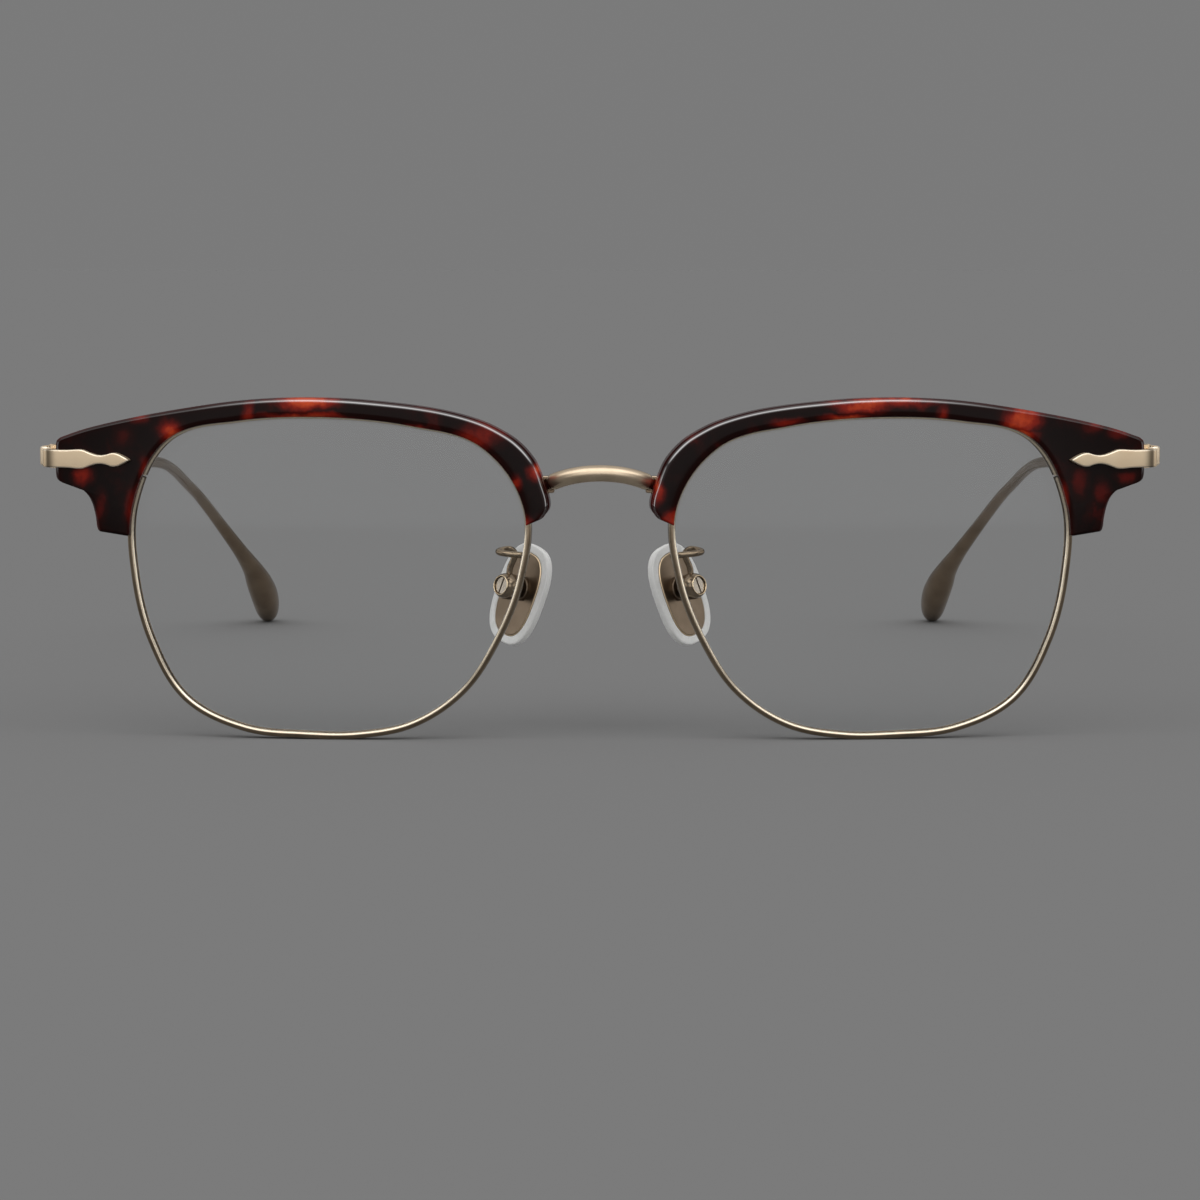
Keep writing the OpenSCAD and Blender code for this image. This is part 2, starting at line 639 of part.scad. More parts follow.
module hinge_screws() {
  color(steel) for (side = [1, -1]) whole(side) translate([hinge_x, hinge_y, hinge_z]) {
    translate([0, 0, -knuckle_half_h])
      cylinder(h = 2 * knuckle_half_h - hinge_head_t, r = hinge_screw_r, $fn = 40);
    difference() {
      translate([0, 0, knuckle_half_h - hinge_head_t])
        cylinder(h = hinge_head_t, r = hinge_head_r, $fn = 40);
      translate([-1, -0.12, knuckle_half_h - 0.14]) cube([2, 0.24, 1]);
    }
  }
}

module hinge_washers() {
  color(clear_white) for (side = [1, -1]) whole(side) for (up = [0, 1])
    translate([hinge_x, hinge_y, hinge_z]) mirror([0, 0, up])
    translate([0, 0, temple_knuckle_half_h + washer_gap]) difference() {
      cylinder(h = washer_t, r = knuckle_r - 0.05, $fn = 48);
      translate([0, 0, -1]) cylinder(h = 2, r = hinge_screw_r + fit_gap, $fn = 40);
    }
}

// Front end of a temple, with the middle knuckle
module temple_head(side) {
  bar_in = bar_start[0] - hinge_x - bar_half_t;
  bar_out = bar_in + 2 * bar_half_t;
  relief = knuckle_r + 0.12;
  color(champagne) whole(side) translate([hinge_x, hinge_y, hinge_z]) difference() {
    union() {
      translate([0, 0, -head_half_h]) linear_extrude(2 * head_half_h) difference() {
        polygon([[1, -head_from], [head_out - 0.55, -head_from], [head_out - 0.2, -0.55],
          [head_out, 0], [head_out, 1], [head_out - 0.2, 1.8], [bar_out + 0.15, 3],
          [bar_out, head_l], [bar_in, head_l], [bar_in - 0.15, 3.4], [-0.3, 2.6],
          [-0.6, 1.9], [-0.6, 0.8], [0, 0]]);
        circle(relief, $fn = 48);
      }
      // Middle knuckle and its web
      translate([0, 0, -temple_knuckle_half_h]) linear_extrude(2 * temple_knuckle_half_h) {
        circle(knuckle_r, $fn = 48);
        polygon([[0, 0], [1.5, 0], [1.5, 2], [-0.5, 2], [-0.5, 0.9]]);
      }
    }
    translate([0, 0, -through / 2])
      cylinder(h = through, r = hinge_screw_r + running_gap, $fn = 40);
  }
}

module temple(side) {
  color(dark_bronze) whole(side)
    polyhedron(join(left_temple_rings),
      tube_faces(len(left_temple_rings), temple_sides), convexity = 6);
}

// Frame of a nose pad: x along the post, z along the pad
module pad_frame(side) {
  whole(side) translate(post_at) rotate([0, 0, -pad_splay]) rotate([0, -pad_lean, 0])
    rotate([pad_roll, 0, 0]) children();
}

// Oval outline of a pad, drawn in by inset, in the pad frame's y and z
function pad_oval(inset) = [for (k = [0:pad_points - 1]) let (a = 360 * k / pad_points,
    c = cos(a), s = sin(a), e = 2 / pad_squareness)
  [pad_shift[0] + sign(c) * pow(abs(c), e) * (pad_w / 2 - inset),
    pad_shift[1] + sign(s) * pow(abs(s), e) * (pad_l / 2 - inset)]];

// Solid from a pad outline, between two places along the post
module pad_slab(inset, from, to) {
  translate([from, 0, 0]) rotate([90, 0, 90]) linear_extrude(to - from)
    polygon(pad_oval(inset));
}

module nose_pad(side) {
  rings = [for (r = pad_rows) [for (p = pad_oval(r[1])) [-r[0] * pad_t, p[0], p[1]]]];
  color(clear_white) pad_frame(side) difference() {
    polyhedron(join(rings), tube_faces(len(rings), pad_points), convexity = 4);
    pad_slab(pad_border - fit_gap, core_face - core_t - fit_gap, 2);
  }
}

module pad_core(side) {
  color(bronze) pad_frame(side) difference() {
    union() {
      pad_slab(pad_border, core_face - core_t, core_face);
      rotate([0, 90, 0]) cylinder(h = core_face + collar_t, r = collar_r, $fn = 48);
      rotate([0, 90, 0]) cylinder(h = post_l, r = post_r, $fn = 48);
    }
    translate([post_l - 1.9, 0, 0]) rotate([0, 90, 0])
      cylinder(h = 3, r = brow_screw_r + fit_gap / 2, $fn = 32);
  }
}

module pad_holder(side) {
  color(bronze) difference() {
    pad_frame(side) difference() {
      translate([holder_from, 0, 0]) rotate([0, 90, 0])
        cylinder(h = holder_to - holder_from, r = holder_r, $fn = 64);
      rotate([0, 90, 0]) cylinder(h = 9, r = post_r + fit_gap, $fn = 48);
      translate([holder_to - holder_sink, 0, 0]) rotate([0, 90, 0])
        cylinder(h = 2, r = pad_screw_head_r + 2 * fit_gap, $fn = 48);
    }
    // Socket for the end of the arm
    whole(side) translate(arm_end - [0, 0, fit_gap])
      cylinder(h = 2, r = arm_r + fit_gap, $fn = 32);
  }
}

module pad_screw(side) {
  color(steel) pad_frame(side) translate([post_l + fit_gap, 0, 0]) {
    translate([-1.7, 0, 0]) rotate([0, 90, 0]) cylinder(h = 1.7, r = brow_screw_r, $fn = 32);
    difference() {
      rotate([0, 90, 0]) cylinder(h = pad_screw_head_t, r = pad_screw_head_r, $fn = 48);
      translate([pad_screw_head_t - 0.15, -0.13, -2]) cube([1, 0.26, 4]);
    }
  }
}

module pad_arm(side) {
  rows = concat([for (r = arm_foot_rows) arm_foot + r], [for (r = arm_end_rows) arm_end + r]);
  pts = curve(rows, curve_parts);
  rings = [for (i = [0:len(pts) - 1]) arm_ring(pts, i)];
  color(bronze) whole(side)
    polyhedron(join(rings), tube_faces(len(rings), arm_sides), convexity = 6);
}

// Ring of the pad arm: its frame leans on a way that the wire never follows
function arm_ring(pts, i) = let (
    d = i == 0 ? [0, 1, 0] : i == len(pts) - 1 ? [0, 0, -1] : way(pts, i),
    t = d / norm(d), s = cross(t, [0.8, 0.1, 0.6]), l = s / norm(s), n = cross(l, t))
  [for (k = [0:arm_sides - 1]) let (a = 360 * k / arm_sides)
    pts[i] + arm_r * (l * cos(a) + n * sin(a))];

lens(1);  // lens_left
lens(-1);  // lens_right
rim(1);  // rim_left
rim(-1);  // rim_right
closing_block(1, 1);  // closing_block_upper_left
closing_block(-1, 1);  // closing_block_upper_right
closing_block(1, -1);  // closing_block_lower_left
closing_block(-1, -1);  // closing_block_lower_right
closing_screws();
brow(1);  // brow_left
brow(-1);  // brow_right
bridge();
end_trim(1);  // end_trim_left
end_trim(-1);  // end_trim_right
end_bracket(1);  // end_bracket_left
end_bracket(-1);  // end_bracket_right
brow_screws();
hinge_screws();
hinge_washers();
temple_head(1);  // temple_head_left
temple_head(-1);  // temple_head_right
temple(1);  // temple_left
temple(-1);  // temple_right
pad_arm(1);  // pad_arm_left
pad_arm(-1);  // pad_arm_right
pad_holder(1);  // pad_holder_left
pad_holder(-1);  // pad_holder_right
pad_core(1);  // pad_core_left
pad_core(-1);  // pad_core_right
pad_screw(1);  // pad_screw_left
pad_screw(-1);  // pad_screw_right
nose_pad(1);  // nose_pad_left
nose_pad(-1);  // nose_pad_right
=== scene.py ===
"""Looks of the browline glasses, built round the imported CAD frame."""

import logging
import math
from collections.abc import Callable
from dataclasses import dataclass
from enum import Enum

import bpy
import numpy as np
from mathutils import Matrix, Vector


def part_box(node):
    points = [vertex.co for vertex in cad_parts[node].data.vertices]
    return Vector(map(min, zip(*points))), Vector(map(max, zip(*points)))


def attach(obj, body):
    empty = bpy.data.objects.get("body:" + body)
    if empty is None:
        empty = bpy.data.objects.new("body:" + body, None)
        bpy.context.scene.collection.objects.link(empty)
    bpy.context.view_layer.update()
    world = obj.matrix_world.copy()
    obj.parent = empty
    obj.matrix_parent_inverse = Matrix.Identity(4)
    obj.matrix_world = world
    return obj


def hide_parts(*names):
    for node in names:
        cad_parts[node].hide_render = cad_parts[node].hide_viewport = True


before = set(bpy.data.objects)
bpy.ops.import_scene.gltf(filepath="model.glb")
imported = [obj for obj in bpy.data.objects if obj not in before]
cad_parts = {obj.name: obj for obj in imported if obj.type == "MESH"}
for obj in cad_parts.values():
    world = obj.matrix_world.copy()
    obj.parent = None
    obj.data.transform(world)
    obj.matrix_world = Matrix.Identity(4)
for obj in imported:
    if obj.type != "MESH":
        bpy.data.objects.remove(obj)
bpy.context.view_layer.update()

logging.basicConfig(level=logging.INFO, format="%(name)s: %(message)s")
log = logging.getLogger("glasses")

MM = 0.001
Array = np.ndarray
Move = Callable[[Array], Array]
Material = bpy.types.Material
Colour = tuple[float, float, float]
UP = np.array([0.0, 0.0, 1.0])


class Side(Enum):
    """The wearer's left lies at +X and the right at -X."""

    LEFT = 1
    RIGHT = -1

    @property
    def word(self) -> str:
        """The side's part of a node name."""
        return self.name.lower()


# Shader trees


class Tap:
    """A socket's output. Arithmetic on it adds Math nodes to its tree."""

    def __init__(self, book: "NodeBook", socket: bpy.types.NodeSocket) -> None:
        """Wraps a socket of book's tree."""
        self.book = book
        self.socket = socket

    def maths(self, operation: str, *others: "Tap | float", swap: bool = False) -> "Tap":
        """Adds one Math node.

        Args:
            operation: the Math node's operation.
            others: the further operands.
            swap: puts this socket second.

        Returns:
            The node's result.
        """
        operands = [self, *others]
        if swap:
            operands.reverse()
        return self.book.add("ShaderNodeMath", {"operation": operation}, dict(enumerate(operands)))

    def __add__(self, other: "Tap | float") -> "Tap":
        """Sum."""
        return self.maths("ADD", other)

    def __sub__(self, other: "Tap | float") -> "Tap":
        """Difference."""
        return self.maths("SUBTRACT", other)

    def __rsub__(self, other: float) -> "Tap":
        """Difference from a number."""
        return self.maths("SUBTRACT", other, swap=True)

    def __mul__(self, other: "Tap | float") -> "Tap":
        """Product."""
        return self.maths("MULTIPLY", other)

    __radd__ = __add__
    __rmul__ = __mul__

    def most(self, other: "Tap | float") -> "Tap":
        """The larger of two values."""
        return self.maths("MAXIMUM", other)

    def rise(self, low: float, high: float, to_low: float = 0.0, to_high: float = 1.0) -> "Tap":
        """A smooth step.

        Args:
            low: where the step starts.
            high: where it ends.
            to_low: the value before it.
            to_high: the value after it.

        Returns:
            The stepped value.
        """
        return self.book.add(
            "ShaderNodeMapRange",
            {"interpolation_type": "SMOOTHSTEP"},
            {"Value": self, "From Min": low, "From Max": high, "To Min": to_low, "To Max": to_high},
        )


class NodeBook:
    """A node tree that is written node by node."""

    def __init__(self, tree: bpy.types.NodeTree) -> None:
        """Empties the tree."""
        self.tree = tree
        tree.nodes.clear()

    def add(self, kind: str, settings: dict | None = None, sockets: dict | None = None,
            out: str | int = 0) -> Tap:
        """Adds a node.

        Args:
            kind: the node's type.
            settings: its properties, and stops for a ramp.
            sockets: values or taps for its inputs, by name or number.
            out: the output that is wanted.

        Returns:
            That output.
        """
        node = self.tree.nodes.new(kind)
        for name, value in (settings or {}).items():
            if name == "stops":
                self._stops(node.color_ramp, value)
            else:
                setattr(node, name, value)
        for key, value in (sockets or {}).items():
            if isinstance(value, Tap):
                self.tree.links.new(value.socket, node.inputs[key])
            else:
                node.inputs[key].default_value = value
        return Tap(self, node.outputs[out] if node.outputs else None)

    @staticmethod
    def _stops(ramp: bpy.types.ColorRamp, stops: list[tuple[float, tuple]]) -> None:
        """Fills a colour ramp with (place, colour) stops.

        Args:
            ramp: the colour ramp.
            stops: a place and a colour for each stop.
        """
        while len(ramp.elements) < len(stops):
            ramp.elements.new(0.5)
        for element, (place, colour) in zip(ramp.elements, stops):
            element.position = place
            element.color = (*colour, 1.0)

    def place(self) -> Tap:
        """The point on the piece, in metres."""
        return self.add("ShaderNodeTexCoord", out="Object")

    def share(self, name: str) -> Tap:
        """A share that the mesh holds for each of its points."""
        return self.add("ShaderNodeAttribute", {"attribute_name": name}, out="Fac")

    def vector(self, operation: str, a: "Tap | tuple", b: "Tap | tuple | None" = None,
               scale: float | None = None, out: str | int = 0) -> Tap:
        """Adds a Vector Math node.

        Args:
            operation: its operation.
            a: the first vector.
            b: the second vector.
            scale: the factor of SCALE.
            out: the output that is wanted.

        Returns:
            The node's result.
        """
        sockets = {0: a}
        if b is not None:
            sockets[1] = b
        if scale is not None:
            sockets["Scale"] = scale
        return self.add("ShaderNodeVectorMath", {"operation": operation}, sockets, out)

    def noise(self, at: Tap, scale: float, detail: float = 3.0, roughness: float = 0.6,
              out: str = "Fac") -> Tap:
        """A noise texture.

        Args:
            at: the point it is read at.
            scale: how fine it is, per metre.
            detail: the number of octaves.
            roughness: the weight of the finer ones.
            out: Fac or Color.

        Returns:
            The noise.
        """
        return self.add("ShaderNodeTexNoise", None, {"Vector": at, "Scale": scale,
                        "Detail": detail, "Roughness": roughness}, out)

    def mix(self, share: "Tap | float", a: "Tap | tuple", b: "Tap | tuple") -> Tap:
        """A colour between a and b."""
        a, b = [(*c, 1.0) if isinstance(c, tuple) else c for c in (a, b)]
        return self.add("ShaderNodeMix", {"data_type": "RGBA"}, {0: share, 6: a, 7: b}, 2)


# Finishes


class Finish:
    """A procedural finish. Each kind adds nodes of its own."""

    def shader(self, book: NodeBook) -> Tap:
        """Adds the finish's nodes to a tree and gives the shader."""
        raise NotImplementedError

    def build(self, name: str) -> Material:
        """Makes the material.

        Args:
            name: the material's name.

        Returns:
            The material.
        """
        material = bpy.data.materials.new(name)
        material.use_nodes = True
        book = NodeBook(material.node_tree)
        book.add("ShaderNodeOutputMaterial", None, {"Surface": self.shader(book)})
        return material


@dataclass(frozen=True)
class Patch:
    """A soft patch of colour in the acetate: its place and half sizes in mm, and its strength."""

    x: float
    z: float
    half_x: float
    half_z: float
    strength: float


@dataclass(frozen=True)
class TortoiseAcetate(Finish):
    """Polished acetate, near black with soft red and amber patches."""

    patches: tuple[Patch, ...]
    stops: tuple[tuple[float, Colour], ...] = (
        (0.0, (0.0055, 0.0026, 0.0023)),
        (0.16, (0.014, 0.0028, 0.0023)),
        (0.40, (0.066, 0.0048, 0.0033)),
        (0.68, (0.21, 0.013, 0.0056)),
        (1.0, (0.50, 0.060, 0.016)),
    )
    sway: float = 0.0024
    cloud: float = 0.30
    polish_ior: float = 4.5

    def glow(self, book: NodeBook, warped: Tap) -> Tap:
        """The strongest of the patches at a point.

        A patch fades by a smooth step of the distance from its middle, in its half sizes.

        Args:
            book: the tree.
            warped: the point, swayed.

        Returns:
            The strength of the colour there.
        """
        glow = None
        for patch in self.patches:
            away = book.vector("SUBTRACT", warped, (patch.x * MM, 0.0, patch.z * MM))
            away = book.vector("MULTIPLY", away,
                               (1 / (patch.half_x * MM), 0.0, 1 / (patch.half_z * MM)))
            reach = book.vector("LENGTH", away, out="Value")
            spot = reach.rise(0.2, 2.1, patch.strength, 0.0)
            glow = glow.most(spot) if glow else spot
        return glow

    def shader(self, book: NodeBook) -> Tap:
        """Patches and clouds at a swayed point, a painted glow of light at the thin edges, and a
        polished band where the accent is.

        Args:
            book: the tree that they go into.

        Returns:
            The shader's output.
        """
        at = book.place()
        flat = book.vector("MULTIPLY", at, (1.0, 0.4, 1.0))
        sway = book.noise(flat, 260.0, out="Color")
        sway = book.vector("SCALE", book.vector("SUBTRACT", sway, (0.5, 0.5, 0.5)),
                           scale=self.sway)
        warped = book.vector("ADD", flat, sway)
        clouds = book.noise(warped, 230.0).rise(0.50, 0.80, 0.0, self.cloud)
        # Painted light: the edge share reddens the thin edges, a painted glow of light shining
        # through them.
        edge = book.share("rim_glow")
        mottle = book.noise(flat, 1100.0)
        deep = self.glow(book, warped).most(clouds) * (0.70 + 0.55 * mottle)
        amount = deep * 0.85 + edge * (0.22 + 0.30 * deep)
        colour = book.add("ShaderNodeValToRGB", {"stops": list(self.stops)}, {"Fac": amount})
        wear = book.noise(at, 1500.0)
        return book.add("ShaderNodeBsdfPrincipled", None, {
            "Base Color": colour, "Roughness": wear.rise(0.3, 0.7, 0.13, 0.19), "IOR": 1.15,
            "Coat Weight": book.share("accent"), "Coat Roughness": 0.06,
            "Coat IOR": self.polish_ior})


@dataclass(frozen=True)
class BrushedMetal(Finish):
    """Plated metal with a fine brushed grain, a slight tarnish, painted highlights at its edges and
    painted shade in a trim's bend.
    """

    colour: Colour
    tarnish: Colour
    edge: Colour
    roughness: float = 0.3
    grain: tuple[float, float, float] = (1.0, 1.0, 1.0)
    fineness: float = 4200.0
    depth: float = 0.000002
    # How dark the painted shade in a trim's bend is, as a share of the tarnish.
    bend_shade: float = 0.14
    smoother: float = 0.012
    rougher: float = 0.015

    def shader(self, book: NodeBook) -> Tap:
        """Stretched grain over a cloudy tarnish, with painted highlights at the edges and painted
        shade in the bend.

        Args:
            book: the tree that they go into.

        Returns:
            The shader's output.
        """
        at = book.place()
        along = book.vector("MULTIPLY", at, self.grain)
        lines = book.noise(along, self.fineness, 2.0, 0.6)
        cloud = book.noise(at, 300.0)
        share = cloud.rise(0.35, 0.7) * 0.75 + lines * 0.12
        colour = book.mix(share, self.colour, self.tarnish)
        # Painted highlight: the edge colour is mixed in where the mesh marks an edge.
        colour = book.mix(book.share("rim_glow"), colour, self.edge)
        # Painted shade: a dark tarnish is mixed in at a trim's bend, a painted dark reflection.
        colour = book.mix(book.share("accent"), colour,
                          tuple(self.bend_shade * c for c in self.tarnish))
        rough = lines.rise(0.2, 0.8, self.roughness - self.smoother,
                           self.roughness + self.rougher)
        bump = book.add("ShaderNodeBump", None, {"Strength": 0.12, "Distance": self.depth,
                                                 "Height": lines})
        return book.add("ShaderNodeBsdfPrincipled", None, {
            "Base Color": colour, "Metallic": 1.0, "Roughness": rough, "Normal": bump})


@dataclass(frozen=True)
class ClearLens(Finish):
    """Polished clear plastic that shows only its reflections."""

    tint: Colour = (0.992, 0.995, 0.995)
    ior: float = 1.42
    sheen: float = 0.16

    def shader(self, book: NodeBook) -> Tap:
        """A mix of see-through and mirror, by the angle of view.

        Args:
            book: the tree that they go into.

        Returns:
            The shader's output.
        """
        at = book.place()
        shine = book.add("ShaderNodeFresnel", None, {"IOR": self.ior})
        smear = book.noise(at, 60.0, 2.0, 0.5).rise(0.3, 0.7, 0.02, 0.05)
        clear = book.add("ShaderNodeBsdfTransparent", None, {"Color": (*self.tint, 1.0)})
        mirror = book.add("ShaderNodeBsdfPrincipled", None, {
            "Base Color": (0.9, 0.93, 0.95, 1.0), "Metallic": 1.0, "Roughness": smear})
        return book.add("ShaderNodeMixShader", None, {0: shine * self.sheen, 1: clear, 2: mirror})


@dataclass(frozen=True)
class Silicone(Finish):
    """Translucent white silicone with a soft sheen."""

    colour: Colour = (0.97, 0.97, 0.955)
    shade: Colour = (0.93, 0.93, 0.915)
    opacity: float = 0.62
    ior: float = 1.42

    def shader(self, book: NodeBook) -> Tap:
        """A mix of see-through and white, denser where it is seen edge on.

        Args:
            book: the tree that they go into.

        Returns:
            The shader's output.
        """
        haze = book.noise(book.place(), 700.0)
        edge = book.add("ShaderNodeLayerWeight", None, {"Blend": 0.35}, "Facing")
        thick = edge.rise(0.05, 0.75, self.opacity, 0.97) + (haze - 0.5) * 0.08
        rough = haze.rise(0.3, 0.7, 0.2, 0.34)
        clear = book.add("ShaderNodeBsdfTransparent", None, {"Color": (0.97, 0.97, 0.965, 1.0)})
        body = book.add("ShaderNodeBsdfPrincipled", None, {
            "Base Color": book.mix(haze, self.colour, self.shade), "Roughness": rough,
            "IOR": self.ior})
        return book.add("ShaderNodeMixShader", None, {0: thick, 1: clear, 2: body})


@dataclass(frozen=True)
class PlainPolymer(Finish):
    """Moulded plastic with a slight mottle, for the hinge washers."""

    colour: Colour
    roughness: float = 0.4

    def shader(self, book: NodeBook) -> Tap:
        """A colour that a fine mottle darkens a little.

        Args:
            book: the tree that they go into.

        Returns:
            The shader's output.
        """
        mottle = book.noise(book.place(), 2500.0)
        shade = tuple(c * 0.85 for c in self.colour)
        return book.add("ShaderNodeBsdfPrincipled", None, {
            "Base Color": book.mix(mottle, self.colour, shade),
            "Roughness": mottle.rise(0.2, 0.8, self.roughness - 0.08, self.roughness + 0.08)})


@dataclass(frozen=True)
class PlainFloor(Finish):
    """Matt grey with hardly any grain."""

    grey: float

    def shader(self, book: NodeBook) -> Tap:
        """A grey that a fine noise shifts by less than a fiftieth.

        Args:
            book: the tree that they go into.

        Returns:
            The shader's output.
        """
        grain = book.noise(book.place(), 350.0).rise(0.2, 0.8, 0.985, 1.015)
        base = book.mix(grain - 0.5, (self.grey * 0.98,) * 3, (self.grey * 1.02,) * 3)
        return book.add("ShaderNodeBsdfPrincipled", None, {
            "Base Color": base, "Roughness": 0.9, "Specular IOR Level": 0.0})


# Shapes as arrays


def spline(rows: Array, parts: int) -> Array:
    """Catmull-Rom curve through rows, with open ends.

    Between b and c, with neighbours a and d, the value at t is
    b + t (c - a) / 2 + t^2 (a - 2.5 b + 2 c - d / 2) + t^3 (1.5 (b - c) + (d - a) / 2).

    Args:
        rows: the points, one a row.
        parts: the number of steps between two rows.

    Returns:
        The points of the curve, with the last row.
    """
    rows = np.asarray(rows, float)
    padded = np.vstack([rows[:1], rows, rows[-1:]])
    a, b, c, d = (padded[k:len(rows) - 1 + k][:, None, :] for k in range(4))
    t = (np.arange(parts) / parts)[None, :, None]
    points = (b + t * (c - a) / 2 + t ** 2 * (a - 2.5 * b + 2 * c - d / 2)
              + t ** 3 * (1.5 * (b - c) + (d - a) / 2))
    return np.vstack([points.reshape(-1, rows.shape[1]), rows[-1:]])


def along_path(points: Array) -> Array:
    """Length along a polyline from its start to each of its points."""
    return np.concatenate([[0.0], np.cumsum(np.linalg.norm(np.diff(points, axis=0), axis=1))])


def even(points: Array, count: int) -> Array:
    """Points at equal steps of length along a polyline.

    Args:
        points: the polyline.
        count: how many points to make.

    Returns:
        The new points.
    """
    length = along_path(points)
    at = np.linspace(0.0, length[-1], count)
    return np.stack([np.interp(at, length, column) for column in points.T], axis=1)


def soften(corners: Array, radii: Array, parts: int = 6) -> Array:
    """Rounds the corners of closed outlines.

    Each corner C gives way to the curve (1 - t)^2 A + 2 t (1 - t) C + t^2 B, where A and B lie
    on its two edges, a radius away from it or less where an edge is short.

    Args:
        corners: corner points, with shape (..., corners, axes).
        radii: the rounding of each corner, which broadcasts to (..., corners).
        parts: the number of steps round a corner.

    Returns:
        The outlines, with shape (..., corners * (parts + 1), axes).
    """
    before, after = np.roll(corners, 1, axis=-2) - corners, np.roll(corners, -1, axis=-2) - corners
    reach = [np.linalg.norm(e, axis=-1, keepdims=True) for e in (before, after)]
    r = np.broadcast_to(np.asarray(radii, float)[..., None], reach[0].shape)
    a, b = (corners + e / np.maximum(n, 1e-9) * np.minimum(r, 0.48 * n)
            for e, n in zip((before, after), reach))
    t = np.linspace(0.0, 1.0, parts + 1)[:, None]
    a, b, c = (x[..., None, :] for x in (a, b, corners))
    rounded = (1 - t) ** 2 * a + 2 * t * (1 - t) * c + t ** 2 * b
    return rounded.reshape(*corners.shape[:-2], -1, corners.shape[-1])


@dataclass
class Skin:
    """A mesh as arrays: points in mm, faces as point numbers, and shares for each point.

    The glow is 1 at an edge, where it paints light. The accent is 1 on a brow's polished ridge, and
    in a trim's bend where it paints shade.
    """

    points: Array
    faces: list[Array]
    glow: Array
    accent: Array | None = None

    def __add__(self, other: "Skin") -> "Skin":
        """Both skins in one.

        Args:
            other: the skin to add.

        Returns:
            A skin that holds both.
        """
        shifted = [f + len(self.points) for f in other.faces]
        return Skin(np.vstack([self.points, other.points]), self.faces + shifted,
                    np.concatenate([self.glow, other.glow]))

    def moved(self, turn: Array, shift: Array | float = 0.0) -> "Skin":
        """The skin with each point p at turn p + shift."""
        return Skin(self.points @ np.asarray(turn).T + shift, self.faces, self.glow, self.accent)

    def through(self, change: Move) -> "Skin":
        """The skin with its points changed by a function of the whole array."""
        return Skin(change(self.points), self.faces, self.glow, self.accent)


def loft(rings: Array, looped: bool = False, glow: Array | None = None) -> Skin:
    """Skin over closed rings, with flat ends unless the rings loop.

    Args:
        rings: points with shape (rings, points in a ring, 3).
        looped: joins the last ring to the first.
        glow: the edge glow of each point, with shape (rings, points in a ring).

    Returns:
        The closed skin.
    """
    m, n = rings.shape[:2]
    i = np.arange(m if looped else m - 1)[:, None]
    k = np.arange(n)[None, :]
    j, l = (i + 1) % m, (k + 1) % n
    quads = np.stack([i * n + k, j * n + k, j * n + l, i * n + l], axis=-1).reshape(-1, 4)
    faces = [quads] if looped else [quads, np.arange(n)[None, ::-1],
                                    ((m - 1) * n + np.arange(n))[None, :]]
    flat_glow = np.zeros(m * n) if glow is None else np.broadcast_to(glow, (m, n)).reshape(-1)
    return Skin(rings.reshape(-1, 3), faces, np.array(flat_glow, float))


def sweep(path: Array, sections: Array, up: Array, glow: Array | None = None,
          looped: bool = False) -> Skin:
    """Profile carried along a path.

    A section point (a, b) at a path point P goes to P + a S + b U, where T is the path's
    direction, S is T x up made a unit vector, and U is S x T.

    Args:
        path: the path's points.
        sections: section points, with shape (points in a section, 2) or one such for each
            point of the path.
        up: a direction that the path never follows.
        glow: the edge glow of the section's points.
        looped: joins the end of the path to its start.

    Returns:
        The skin.
    """
    if looped:
        way = np.roll(path, -1, axis=0) - np.roll(path, 1, axis=0)
    else:
        way = np.gradient(path, axis=0)
    way /= np.linalg.norm(way, axis=1, keepdims=True)
    across = np.cross(way, up)
    across /= np.linalg.norm(across, axis=1, keepdims=True)
    over = np.cross(across, way)
    sections = np.broadcast_to(sections, (len(path), *np.shape(sections)[-2:]))
    rings = (path[:, None, :] + sections[..., :1] * across[:, None, :]
             + sections[..., 1:] * over[:, None, :])
    return loft(rings, looped, glow)


def oval(half_w: float | Array, half_h: float | Array, sides: int = 32) -> Array:
    """Ellipse sections from half sizes, which may be arrays with one value a section.

    Args:
        half_w: half the width.
        half_h: half the height.
        sides: the points in a section.

    Returns:
        The sections.
    """
    turn = np.linspace(0.0, 2 * math.pi, sides, endpoint=False)
    w, h = (np.asarray(x, float)[..., None] for x in (half_w, half_h))
    return np.stack(np.broadcast_arrays(w * np.cos(turn), h * np.sin(turn)), axis=-1)


def lathe(profile: Array, sides: int = 64) -> Skin:
    """Profile of (place along x, radius) turned about x.

    A point (x, r) goes to (x, r cos q, r sin q) for q round the circle. The profile starts and
    ends on the axis, or closes on itself for a ring.

    Args:
        profile: the profile's points.
        sides: the number of steps round the axis.

    Returns:
        The skin.
    """
    turn = np.linspace(0.0, 2 * math.pi, sides, endpoint=False)
    x, r = profile[:, :1], profile[:, 1:]
    rings = np.stack(np.broadcast_arrays(x, r * np.cos(turn), r * np.sin(turn)), axis=-1)
    return loft(rings, looped=bool(r.min() > 1e-4))


def ring_profile(x0: float, x1: float, r0: float, r1: float, rounding: float) -> Array:
    """Profile of a ring from x0 to x1 along its axis, between the radii r0 and r1."""
    corners = np.array([[x0, r0], [x1, r0], [x1, r1], [x0, r1]])
    return soften(corners, np.full(4, rounding), 5)


